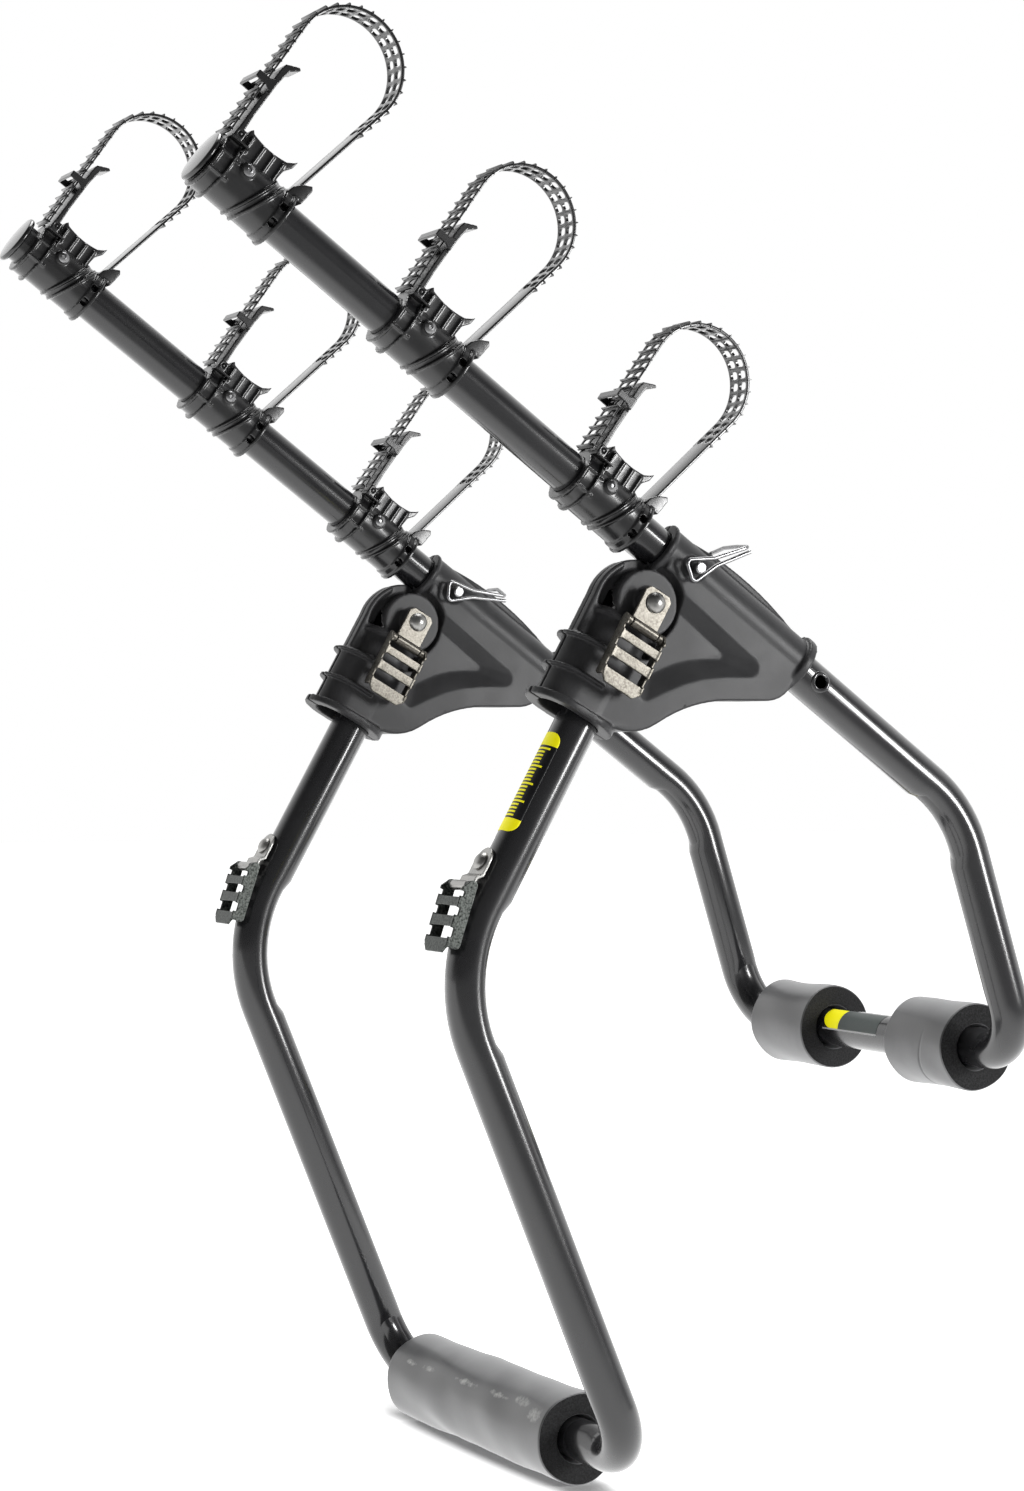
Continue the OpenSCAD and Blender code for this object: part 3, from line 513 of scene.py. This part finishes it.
# Hubs. Each is two glass-filled nylon halves, moulded with drafted pockets and
# rounded edges, closed round the tubes by the pivot bolt.
def moulded_copy(node, voxel, passes, keep):
    """Points and triangles of a node's solid with its edges rounded as a mould
    leaves them: the solid is cut into an even net, each point is drawn to the mean
    of its neighbours and pushed back a little, pass by pass, and the net thinned."""
    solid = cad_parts[node].data.copy()
    work = bmesh.new()
    work.from_mesh(solid)
    bmesh.ops.remove_doubles(work, verts=work.verts, dist=2e-6)
    work.to_mesh(solid)
    work.free()
    holder = bpy.data.objects.new("net", solid)
    scene.collection.objects.link(holder)
    cells = holder.modifiers.new("cells", "REMESH")
    cells.mode, cells.voxel_size, cells.adaptivity = "VOXEL", voxel, 0
    net = bpy.data.meshes.new_from_object(holder.evaluated_get(bpy.context.evaluated_depsgraph_get()))
    count = len(net.vertices)
    points = np.empty(3 * count)
    net.vertices.foreach_get("co", points)
    points = points.reshape(-1, 3)
    pairs = np.empty(2 * len(net.edges), np.int32)
    net.edges.foreach_get("vertices", pairs)
    a, b = pairs.reshape(-1, 2).T
    here, there = np.concatenate([a, b]), np.concatenate([b, a])
    degree = np.bincount(here, minlength=count)[:, None]
    drawn, pushed, last_drawn = 0.6, -0.62, 0.5
    for step in [drawn, pushed] * passes + [last_drawn] * 2:
        total = np.stack([np.bincount(here, points[there, k], count) for k in range(3)], -1)
        points = points + step * (total / degree - points)
    net.vertices.foreach_set("co", points.ravel())
    holder.modifiers.clear()
    holder.data = net
    thin = holder.modifiers.new("thin", "DECIMATE")
    thin.ratio, thin.use_collapse_triangulate = keep, True
    last = bpy.data.meshes.new_from_object(holder.evaluated_get(bpy.context.evaluated_depsgraph_get()))
    points = np.empty(3 * len(last.vertices))
    last.vertices.foreach_get("co", points)
    corners = np.empty(len(last.loops), np.int32)
    last.loops.foreach_get("vertex_index", corners)
    bpy.data.objects.remove(holder)
    return points.reshape(-1, 3), corners.reshape(-1, 3)


hub_nylon = finish(
    "hub_nylon", (0.048, 0.048, 0.050), (0.068, 0.068, 0.070), patch=0.03, rough=(0.32, 0.42),
    grain=0.0006, height=0.00004, Specular_IOR_Level=0.27,
)
hub_points, hub_faces = moulded_copy("hub_right_inner", voxel=0.0009, passes=3, keep=0.35)
base_low, base_high = (np.array(corner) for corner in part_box("hub_right_inner"))
for side in ("left", "right"):
    for half in ("outer", "inner"):
        node = f"hub_{side}_{half}"
        low_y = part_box(node)[0][1]
        points = hub_points + [0, low_y - base_low[1], 0]
        if node in ("hub_right_outer", "hub_left_inner"):
            points = hub_points * [1, -1, 1] + [0, low_y + base_high[1], 0]
        hub = mesh_object(f"{node}_shell", points, hub_faces, hub_nylon)
        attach(hub, "rack")
        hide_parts(node)


# Arm caps. Gloss black nylon plugs with a shallow mushroom head, moulded in one
# piece and pressed into the open ends of the arms.
def turned(profile, centre, axis, count):
    """A profile of radius and height pairs swung round an axis through a centre."""
    profile = np.asarray(profile, float)
    axis = np.asarray(axis, float)
    first = np.cross(axis, (0.3, 1, 0.2))
    first /= np.linalg.norm(first)
    second = np.cross(axis, first)
    a = np.linspace(0, 2 * math.pi, count, endpoint=False)
    spoke = np.cos(a)[:, None] * first + np.sin(a)[:, None] * second
    return np.asarray(centre) + profile[:, None, :1] * spoke + profile[:, None, 1:] * axis


def arc(centre, radius, start, end, count):
    """Points on an arc, from one angle to another in degrees."""
    a = np.radians(np.linspace(start, end, count))
    return np.asarray(centre) + radius * np.stack([np.cos(a), np.sin(a)], -1)


cap_gloss = finish(
    "cap_gloss", (0.008, 0.008, 0.009), (0.014, 0.014, 0.015), patch=0.02, rough=(0.20, 0.28),
    grain=0.0012, height=0.00001, Coat_Weight=1.0, Coat_Roughness=0.08,
)
cap_r, cap_t, cap_edge, cap_crown, cap_sides = 0.0185, 0.005, 0.002, 0.0014, 64
plug_r, plug_depth = 0.01225, 0.012
crown_rows = 14
crown_r, crown_share = np.linspace(cap_r - cap_edge, 0, crown_rows), np.linspace(1 - 0.11, 0, crown_rows)
cap_profile = np.concatenate([
    [[0, -plug_depth], [0.0115, -plug_depth], [plug_r, -0.011], [plug_r, 0.0], [cap_r - 0.0012, 0.0]],
    arc((cap_r - cap_edge, cap_edge), cap_edge, -60, 62, 8),
    np.stack([crown_r, cap_t - cap_crown * crown_share**2], -1),
])
for side, word in ((1, "left"), (-1, "right")):
    cap = mesh_object(
        f"cap_{word}", turned(cap_profile, arm_end + side * across_rack, -arm_x, cap_sides),
        grid_faces(len(cap_profile), cap_sides, False, True), cap_gloss,
    )
    cap.data.set_sharp_from_angle(angle=math.radians(50))
    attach(cap, "rack")
    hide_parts(f"arm_cap_{word}")

# Cradles. Black nylon sleeves clamped on the arms by a cross screw, each with a
# saddle for a bike's top tube, an anchor for the strap and ears for the latch.
cradle_nylon = finish(
    "cradle_nylon", (0.006, 0.006, 0.007), (0.012, 0.012, 0.013), patch=0.02, rough=(0.26, 0.36),
    grain=0.0007, height=0.00001, Coat_Weight=0.8, Coat_Roughness=0.24,
)
left_row, right_row = (0.379, 0.219, 0.069), (0.385, 0.232, 0.069)
cradle_places = {
    f"{word}_{n}": (side, -s)
    for side, word, row in ((1, "left", left_row), (-1, "right", right_row))
    for n, s in enumerate(row, 1)
}
cradle_points, cradle_faces = moulded_copy("cradle_right_1", voxel=0.0006, passes=2, keep=0.30)
clip_points, clip_faces = moulded_copy("clip_right_1", voxel=0.0005, passes=2, keep=0.30)
# The latch's keeper is slimmed towards its middle, by a ramp that starts past the tongue.
tongue_end, ramp, keeper_z, slimmed = -0.0125, 0.003, 0.0615, 0.45
clip_at = clip_points - crossing + across_rack
clip_x, clip_z = clip_at @ arm_x + right_row[0], clip_at @ arm_z
past_tongue = np.clip((tongue_end - clip_x) / ramp, 0, 1)
slim_z = clip_z - slimmed * past_tongue * (clip_z - keeper_z)
clip_points = on_arm(-1, clip_x - right_row[0], clip_at[:, 1], slim_z)
for label in cradle_places:
    shift = np.array(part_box(f"cradle_{label}")[0]) - np.array(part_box("cradle_right_1")[0])
    cradle = mesh_object(f"cradle_{label}_moulding", cradle_points + shift, cradle_faces, cradle_nylon)
    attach(cradle, "rack")
    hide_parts(f"cradle_{label}")
    latch = mesh_object(f"clip_{label}_moulding", clip_points + shift, clip_faces, cradle_nylon)
    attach(latch, f"clip_{label}")
    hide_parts(f"clip_{label}")

# Cradle screws. Bright zinc screws and nuts that pinch each cradle on its arm,
# with a small domed head and a recess on both of its sides.
bright_steel = finish(
    "bright_steel", (0.30, 0.30, 0.31), (0.44, 0.44, 0.44), patch=0.004, rough=(0.26, 0.36),
    grain=0.0007, height=0.000002, Metallic=1.0,
)
screw_x, screw_y, screw_z, screw_sides = 0.006, 0.01925, 0.006, 32
screw_profile = np.concatenate([
    [[0, -0.0005], [0.0036, -0.0005], [0.0036, 0.0006]], arc((0, -0.0034), 0.0054, 44, 74, 6),
    [[0.0014, 0.0016], [0.0012, 0.0009], [0, 0.0009]],
])
screw_parts = [
    turned(screw_profile, on_arm(side, s + screw_x, face * screw_y, screw_z), (0, face, 0), screw_sides)
    for side, s in cradle_places.values() for face in (-1, 1)
]
screw_grid = grid_faces(len(screw_profile), screw_sides, False, True)
screws = mesh_object(
    "cradle_screw_heads", np.concatenate([p.reshape(-1, 3) for p in screw_parts]),
    copies(screw_grid, len(screw_profile) * screw_sides, len(screw_parts)), bright_steel,
)
screws.data.set_sharp_from_angle(angle=math.radians(40))
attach(screws, "rack")
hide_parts("cradle_screws")

# Ladder straps. Moulded rubber, with two rows of oval holes and a ridge between
# holes on the outside; the plain end is held in the cradle's anchor.
strap_rubber = finish(
    "strap_rubber", (0.010, 0.010, 0.011), (0.018, 0.018, 0.019), patch=0.02, rough=(0.24, 0.34),
    grain=0.0009, height=0.00002, Coat_Weight=1.0, Coat_Roughness=0.16,
)
strap_w, strap_t, strap_pitch, holes_past_loop = 0.022, 0.0021, 0.008, 0.021
loop_x, loop_h, loop_r, tail_z = 0.0205, 0.108, 0.037, 0.021
root_x, root_z = 0.0389, 0.018
hole_half_u, hole_half_v, hole_square, hole_shift, hole_soft = 0.0027, 0.0041, 0.65, 0.0003, 0.0002
edge_round, band_round, band_rows = 0.0003, 0.0006, 40
ridge_half, ridge_base, ridge_height, ridge_sides = 0.0006, 0.0008, 0.0019, 16
reach_x, reach_z = root_x - loop_x, root_z - loop_h
root_reach = math.hypot(reach_x, reach_z)
root_angle = math.atan2(reach_z, reach_x) + math.acos(loop_r / root_reach)
rise_len, loop_len = loop_h - tail_z, loop_r * (math.pi - root_angle)
strap_len = rise_len + loop_len + math.sqrt(root_reach**2 - loop_r**2)
strap_cells = int((rise_len + loop_len + holes_past_loop) / strap_pitch)
first_rung, stretched = 0.0019, 0.5
long_steps, cross_steps = 6, 8


def strap_point(u, v, off):
    """A point of the loop: up a straight run, round an arc and down a straight
    run by a length u, then v across the strap and off outwards from its middle."""
    a = math.pi - np.clip(u - rise_len, 0, loop_len) / loop_r
    past = np.minimum(u - rise_len, 0) + np.maximum(u - rise_len - loop_len, 0)
    x = loop_x + (loop_r + off) * np.cos(a) + past * np.sin(a)
    z = loop_h + (loop_r + off) * np.sin(a) - past * np.cos(a)
    return x, v, z


def strap_cell_net():
    """One cell of the ladder: rings of points from its rectangle in to an oval
    hole on the outside, down the hole, and back to the rectangle inside."""
    half_u, half_v = strap_pitch / 2, strap_w / 4
    side_u = np.linspace(-1, 1, long_steps + 1)[:-1]
    side_v = np.linspace(-1, 1, cross_steps + 1)[:-1]
    end_u, end_v = np.ones(cross_steps), np.ones(long_steps)
    u = np.concatenate([side_u, end_u, -side_u, -end_u]) * half_u
    v = np.concatenate([-end_v, side_v, end_v, -side_v]) * half_v
    a = np.arctan2(v / half_v, u / half_u)
    c, s = np.cos(a), np.sin(a)
    hole_u = hole_half_u * np.sign(c) * np.abs(c) ** hole_square
    hole_v = hole_half_v * np.sign(s) * np.abs(s) ** hole_square - hole_shift
    mouth_u, mouth_v = hole_u * 1.1, hole_v * 1.07
    top = strap_t / 2
    rings = [
        (u, v, top), (mouth_u, mouth_v, top), (hole_u, hole_v, top - hole_soft),
        (hole_u, hole_v, hole_soft - top), (mouth_u, mouth_v, -top), (u, v, -top),
    ]
    return np.stack([np.stack([ru, rv, np.full_like(ru, off)], -1) for ru, rv, off in rings])


def strap_shape():
    """All cells of both rows, the two edges, the ridges, the tail and the plain
    band as one list of points along, across and off the strap, with their faces.
    The band of the latched run is pulled thinner, by a ramp along the strap."""
    pull = ([0.6 * rise_len, rise_len + 0.4 * loop_len], [stretched, 1])
    net = strap_cell_net()
    start = first_rung + strap_pitch * (np.arange(strap_cells) + 0.5)
    cells = np.broadcast_to(net, (strap_cells, 2) + net.shape).copy()
    cells[:, 1, :, :, 1] *= -1
    cells[:, 0, :, :, 1] += strap_w / 4
    cells[:, 1, :, :, 1] -= strap_w / 4
    cells[..., 0] += start[:, None, None, None]
    points, faces = [], []

    def add(block, quads):
        """Appends points and the faces that are numbered from the first of them."""
        faces.append(quads + sum(len(p) for p in points))
        points.append(block.reshape(-1, 3))

    rings, around = net.shape[:2]
    add(cells, copies(grid_faces(rings, around, False, True), rings * around, strap_cells * 2))
    edge_u = first_rung + np.linspace(0, strap_cells * strap_pitch, strap_cells * long_steps + 1)
    for edge in (-1, 1):
        u, k = np.meshgrid(edge_u, np.array([-1, 0, 1]), indexing="ij")
        v = edge * (strap_w / 2 + edge_round * (1 - np.abs(k)))
        add(np.stack([u, v, k * strap_t / 2], -1), grid_faces(len(edge_u), 3))
    a = np.linspace(0, 2 * math.pi, ridge_sides, endpoint=False)
    past_edge = np.array([0.0008, 0.0008, 0.0002])
    v = strap_w / 2 + np.concatenate([-strap_w - past_edge, past_edge[::-1]])
    width = np.array([0, 0.7, 1, 1, 0.7, 0])
    rung = first_rung + strap_pitch * np.arange(strap_cells + 1)
    k, w, b = np.meshgrid(rung, np.arange(len(width)), a, indexing="ij")
    ridge_off = (ridge_base + ridge_height * width[w] * np.sin(b)) / np.interp(k, *pull)
    ridge = np.stack([k + ridge_half * width[w] * np.cos(b), v[w], ridge_off], -1)
    ridge_grid = grid_faces(len(width), ridge_sides, False, True)
    add(ridge, copies(ridge_grid, len(width) * ridge_sides, len(rung)))
    soft = arc((0, 0), band_round, 0, 90, 4)
    corner = np.array([strap_w / 2 - band_round, strap_t / 2 - band_round])
    section = np.concatenate([
        corner + soft, corner * [-1, 1] + soft[::-1] * [-1, 1],
        -corner - soft, corner * [1, -1] + soft[::-1] * [1, -1],
    ])
    holes_end, lap = first_rung + strap_cells * strap_pitch, 0.0001
    for u0, u1 in ((0, first_rung + lap), (holes_end - lap, strap_len)):
        u = np.concatenate([[u0, u0], np.linspace(u0, u1, band_rows), [u1, u1]])[:, None]
        size = np.concatenate([[0, 0.9], np.ones(band_rows), [0.9, 0]])[:, None]
        block = np.stack(np.broadcast_arrays(u, size * section[:, 0], size * section[:, 1]), -1)
        add(block, grid_faces(len(u), len(section), False, True))
    points = np.concatenate(points)
    points[:, 2] *= np.interp(points[:, 0], *pull)
    return points, np.concatenate(faces)


strap_points, strap_faces = strap_shape()
strap_x, strap_y, strap_z = strap_point(*strap_points.T)
for label, (side, s) in cradle_places.items():
    loop = on_arm(side, s + strap_x, strap_y, strap_z)
    strap = mesh_object(f"strap_{label}_loop", loop, strap_faces, strap_rubber)
    strap.data.set_sharp_from_angle(angle=math.radians(50))
    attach(strap, "rack")
    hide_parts(f"strap_{label}")

# Pivot bolts. Zinc plated steel bolts with a domed head at either end, through
# the hub's halves, the lower leg between them and both buckle tabs.
bolt_zinc = finish(
    "bolt_zinc", (0.36, 0.36, 0.35), (0.52, 0.51, 0.49), patch=0.005, rough=(0.26, 0.42),
    grain=0.0006, height=0.00004, Metallic=1.0,
)
pivot_drop, grip, shank_r, dome_r, dome_t, bolt_sides = 0.0395, 0.0276, 0.0039, 0.008, 0.0045, 48
pivot = crossing - slope(pivot_drop, leg_lean)
dome = np.concatenate([[[0.0069, 0.0], [0.007, 0.0005]], arc((0, dome_t - dome_r), dome_r, 29.5, 90, 10)])
half_bolt = np.concatenate([[[shank_r, 0.0], [shank_r, grip]], dome + [0, grip]])
bolt_profile = np.concatenate([(half_bolt * [1, -1])[::-1], half_bolt])
for side, word in ((1, "left"), (-1, "right")):
    bolt = mesh_object(
        f"pivot_bolt_{word}_zinc", turned(bolt_profile, pivot + side * across_rack, (0, 1, 0), bolt_sides),
        grid_faces(len(bolt_profile), bolt_sides, False, True), bolt_zinc,
    )
    bolt.data.set_sharp_from_angle(angle=math.radians(50))
    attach(bolt, "rack")
    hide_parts(f"pivot_bolt_{word}")

# Hitch pins and bails. A turned pin locks each hub on the upper tube, and a
# sprung wire bail, bent cold, snaps over the hub's back to keep it in.
pin_s, pin_r, pin_reach, pin_sides = 0.018, 0.004, 0.029, 48
head_r, head_from, head_to, head_edge = 0.007, 0.0163, 0.0273, 0.0008
pin_profile = np.array([
    [0, -pin_reach], [pin_r - 0.001, -pin_reach], [pin_r, -pin_reach + 0.001], [pin_r, head_from],
    [head_r - head_edge, head_from], [head_r, head_from + head_edge],
    [head_r, head_to - head_edge], [head_r - head_edge, head_to], [0, head_to],
])
wire_r, wire_sides, wire_turn = 0.0014, 16, 0.15
eye_y, shoulder_y, catch_y = -0.0258, -0.0086, 0.024
back, waist, crest, over = -0.0078, 0.013, 0.041, 0.042
bail_bends = [0, 0.008, 0.003, 0.003, 0.008, 0.004, 0.004, 0.004, 0.004, 0]
for side, word, lift, hump in ((1, "left", 30, 0.008), (-1, "right", 55, 0.0025)):
    bail_corners = np.array([
        [crest, eye_y, -0.0017], [waist, eye_y, -0.0026], [back, eye_y, -0.008], [back, eye_y, 0.008],
        [waist, eye_y, 0.0026], [crest, eye_y, 0.0017], [over, shoulder_y, hump],
        [over, catch_y / 3, hump], [crest, catch_y, 0], [0.003, catch_y, 0],
    ])
    pin = mesh_object(
        f"hitch_pin_{word}_turned", turned(pin_profile, on_arm(side, pin_s, 0.0, 0.0), (0, 1, 0), pin_sides),
        grid_faces(len(pin_profile), pin_sides, False, True), bright_steel,
    )
    pin.data.set_sharp_from_angle(angle=math.radians(40))
    line, heading, _ = bent_line(bail_corners, bail_bends, wire_turn)
    c, s = math.cos(math.radians(lift)), math.sin(math.radians(lift))
    tilt = np.array([[c, 0, s], [0, 1, 0], [-s, 0, c]])
    line, heading = line @ tilt, heading @ tilt
    line = on_arm(side, pin_s + line[:, 0], line[:, 1], line[:, 2])
    heading = heading[:, :1] * arm_x + heading[:, 1:2] * np.array([0, 1, 0]) + heading[:, 2:] * arm_z
    wire = carried(line, heading, ring(wire_r, wire_sides), (0.31, 0.47, 0.83))
    faces = grid_faces(len(line), wire_sides, False, True)
    bail = mesh_object(f"pin_bail_{word}_wire", wire, faces, bright_steel)
    for piece, node in ((pin, "hitch_pin"), (bail, "pin_bail")):
        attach(piece, f"pin_{word}")
        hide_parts(f"{node}_{word}")

# Buckles. Stamped and zinc plated steel: a tab on a bolt with its end curled
# round the bar of a ladder frame, through which the webbing is threaded.
plated_zinc = finish(
    "plated_zinc", (0.10, 0.092, 0.078), (0.27, 0.255, 0.225), patch=0.0014, rough=(0.30, 0.44),
    grain=0.0007, height=0.00003, Metallic=1.0,
)
# A much darker zinc than the hub buckles' frames have, given to the frames of the leg buckles.
dark_zinc = finish(
    "dark_zinc", (0.020, 0.023, 0.021), (0.16, 0.17, 0.16), patch=0.0014, rough=(0.30, 0.48),
    grain=0.0007, height=0.00006, Metallic=1.0,
)
for side in ("left", "right"):
    for face in ("outer", "inner", "leg"):
        for kind in ("tab", "frame"):
            node = f"buckle_{kind}_{side}_{face}"
            points, faces = moulded_copy(node, voxel=0.00035, passes=2, keep=0.35)
            zinc = plated_zinc if face != "leg" else bolt_zinc if kind == "tab" else dark_zinc
            stamping = mesh_object(f"{node}_stamping", points, faces, zinc)
            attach(stamping, f"{kind}_{side}_{face}")
            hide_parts(node)

# Leg buckle bolts. Zinc plated steel bolts with domed heads, screwed into the
# fronts of the lower legs to hold the lower tabs.
leg_bolt_t, leg_bolt_off, leg_front = 0.242, 0.0148, slope(1, 180 - 29.4)
tab_t, thread_r, thread_depth = 0.0023, 0.003, 0.004
leg_dome = np.concatenate([
    [[0, -thread_depth], [thread_r, -thread_depth], [thread_r, tab_t], [0.0064, tab_t]],
    arc((0, -0.0017), dome_r, 36, 90, 10),
])
leg_seat = crossing - slope(leg_bolt_t, leg_lean) + leg_front * leg_bolt_off
leg_heads = [turned(leg_dome, leg_seat + side * across_rack, leg_front, bolt_sides) for side in (-1, 1)]
leg_grid = grid_faces(len(leg_dome), bolt_sides, False, True)
leg_bolts = mesh_object(
    "leg_buckle_bolt_heads", np.concatenate([p.reshape(-1, 3) for p in leg_heads]),
    copies(leg_grid, len(leg_dome) * bolt_sides, len(leg_heads)), bolt_zinc,
)
leg_bolts.data.set_sharp_from_angle(angle=math.radians(50))
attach(leg_bolts, "lower_frame")
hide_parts("leg_buckle_bolts")


# Stickers. Printed vinyl: a scale of plain ticks with yellow ends on the right leg,
# and two blocks of colour over a white line on the upper crossbar.
patch_steps, patch_sunk = 25, 0.0002


def sticker(name, start, along, facing, lengths, angles, lift, material, corner=(0, 0)):
    """A thin closed patch on a tube. It runs along the tube between two lengths and
    round it between two angles from a facing direction, and stands off by a lift.
    The corners at the first angle are rounded by a radius at either end."""
    along, facing = np.asarray(along, float), np.asarray(facing, float)
    facing = facing - (facing @ along) * along
    facing /= np.linalg.norm(facing)
    beside = np.cross(along, facing)
    rows = np.concatenate([[0, 0], (1 - np.cos(np.linspace(0, math.pi, patch_steps))) / 2, [1, 1]])
    length = lengths[0] + rows * (lengths[1] - lengths[0])
    low, high = np.radians(angles)
    from_start, from_end = length - lengths[0], lengths[1] - length
    cut = np.zeros_like(length)
    for gap, radius in ((from_start, corner[0]), (from_end, corner[1])):
        inside = np.clip(radius - gap, 0, radius)
        cut += (radius - np.sqrt(np.maximum(radius**2 - inside**2, 0))) / tube_r
    share = np.linspace(0, 1, patch_steps)
    sweep = low + cut[:, None] + share * (high - low - cut[:, None])
    angle = np.concatenate([sweep, sweep[:, ::-1]], 1)
    radius = np.repeat([tube_r + lift, tube_r - patch_sunk], patch_steps)
    spoke = np.cos(angle)[..., None] * facing + np.sin(angle)[..., None] * beside
    points = np.asarray(start) + length[:, None, None] * along + radius[None, :, None] * spoke
    points[0] = points[0].mean(0)
    points[-1] = points[-1].mean(0)
    return mesh_object(name, points, grid_faces(len(rows), 2 * patch_steps, False, True), material)


label_black = finish(
    "label_black", (0.010, 0.010, 0.012), (0.016, 0.016, 0.018), patch=0.01, rough=(0.30, 0.38),
    grain=0.001, height=0.000004,
)
# The yellow print has a painted glow: it gives off light of its own, beyond what the lamps give it.
label_yellow_glow = finish(
    "label_yellow_glow", (0.90, 0.82, 0.000), (0.96, 0.90, 0.010), patch=0.004, rough=(0.40, 0.50),
    grain=0.001, height=0.000004, Emission_Color=(1.0, 0.93, 0.0, 1), Emission_Strength=0.40,
)
label_grey = finish(
    "label_grey", (0.085, 0.105, 0.100), (0.105, 0.125, 0.120), patch=0.004, rough=(0.40, 0.50),
    grain=0.001, height=0.000004,
)
label_white = finish(
    "label_white", (0.78, 0.78, 0.78), (0.84, 0.84, 0.84), patch=0.004, rough=(0.40, 0.50),
    grain=0.001, height=0.000004,
)
to_camera = -np.array(sight)
base_lift, print_lift, bar_lift = 0.00012, 0.00020, 0.00015
leg_strip = (crossing - across_rack, -slope(1, leg_lean), to_camera)
scale_t, scale_len, scale_end, scale_round = 0.1445, 0.073, 0.0095, 0.0075
scale_turn = (16, 135)
pieces = [sticker(
    "leg_scale", *leg_strip, (scale_t, scale_t + scale_len), scale_turn, base_lift, label_black,
    (scale_round, scale_round),
)]
for word, start, corner in (
    ("upper", 0, (scale_round, 0)),
    ("lower", scale_len - scale_end, (0, scale_round)),
):
    pieces.append(sticker(
        f"leg_scale_end_{word}", *leg_strip, (scale_t + start, scale_t + start + scale_end),
        scale_turn, print_lift, label_yellow_glow, corner,
    ))
tick_count, tick_pitch, tick_w, tick_gap, long_every = 20, 0.0026, 0.0013, 0.0018, 5
long_from, short_from = 33, 46
for k in range(tick_count):
    tick_t = scale_t + scale_end + tick_gap + k * tick_pitch
    tick_turn = (short_from if k % long_every else long_from, scale_turn[1])
    pieces.append(sticker(
        f"leg_scale_tick_{k + 1}", *leg_strip, (tick_t, tick_t + tick_w), tick_turn, print_lift, label_yellow_glow,
    ))
for piece in pieces:
    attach(piece, "lower_frame")
bar_y, bar_yellow, bar_len, bar_round = 0.0560, 0.0225, 0.075, 0.012
block_turn, line_turn = (6, 80), (1, 6)
bar_strip = (upper_bar + [0, bar_y - bar_len, 0], (0, 1, 0), to_camera)
bar_split = bar_len - bar_yellow
for piece in (
    sticker(
        "bar_block_yellow", *bar_strip, (bar_split, bar_len), block_turn, bar_lift, label_yellow_glow,
        (0, bar_round),
    ),
    sticker("bar_block_grey", *bar_strip, (0, bar_split), block_turn, bar_lift, label_grey),
    sticker("bar_line_white", *bar_strip, (0, bar_len - 0.001), line_turn, bar_lift, label_white),
):
    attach(piece, "rack")
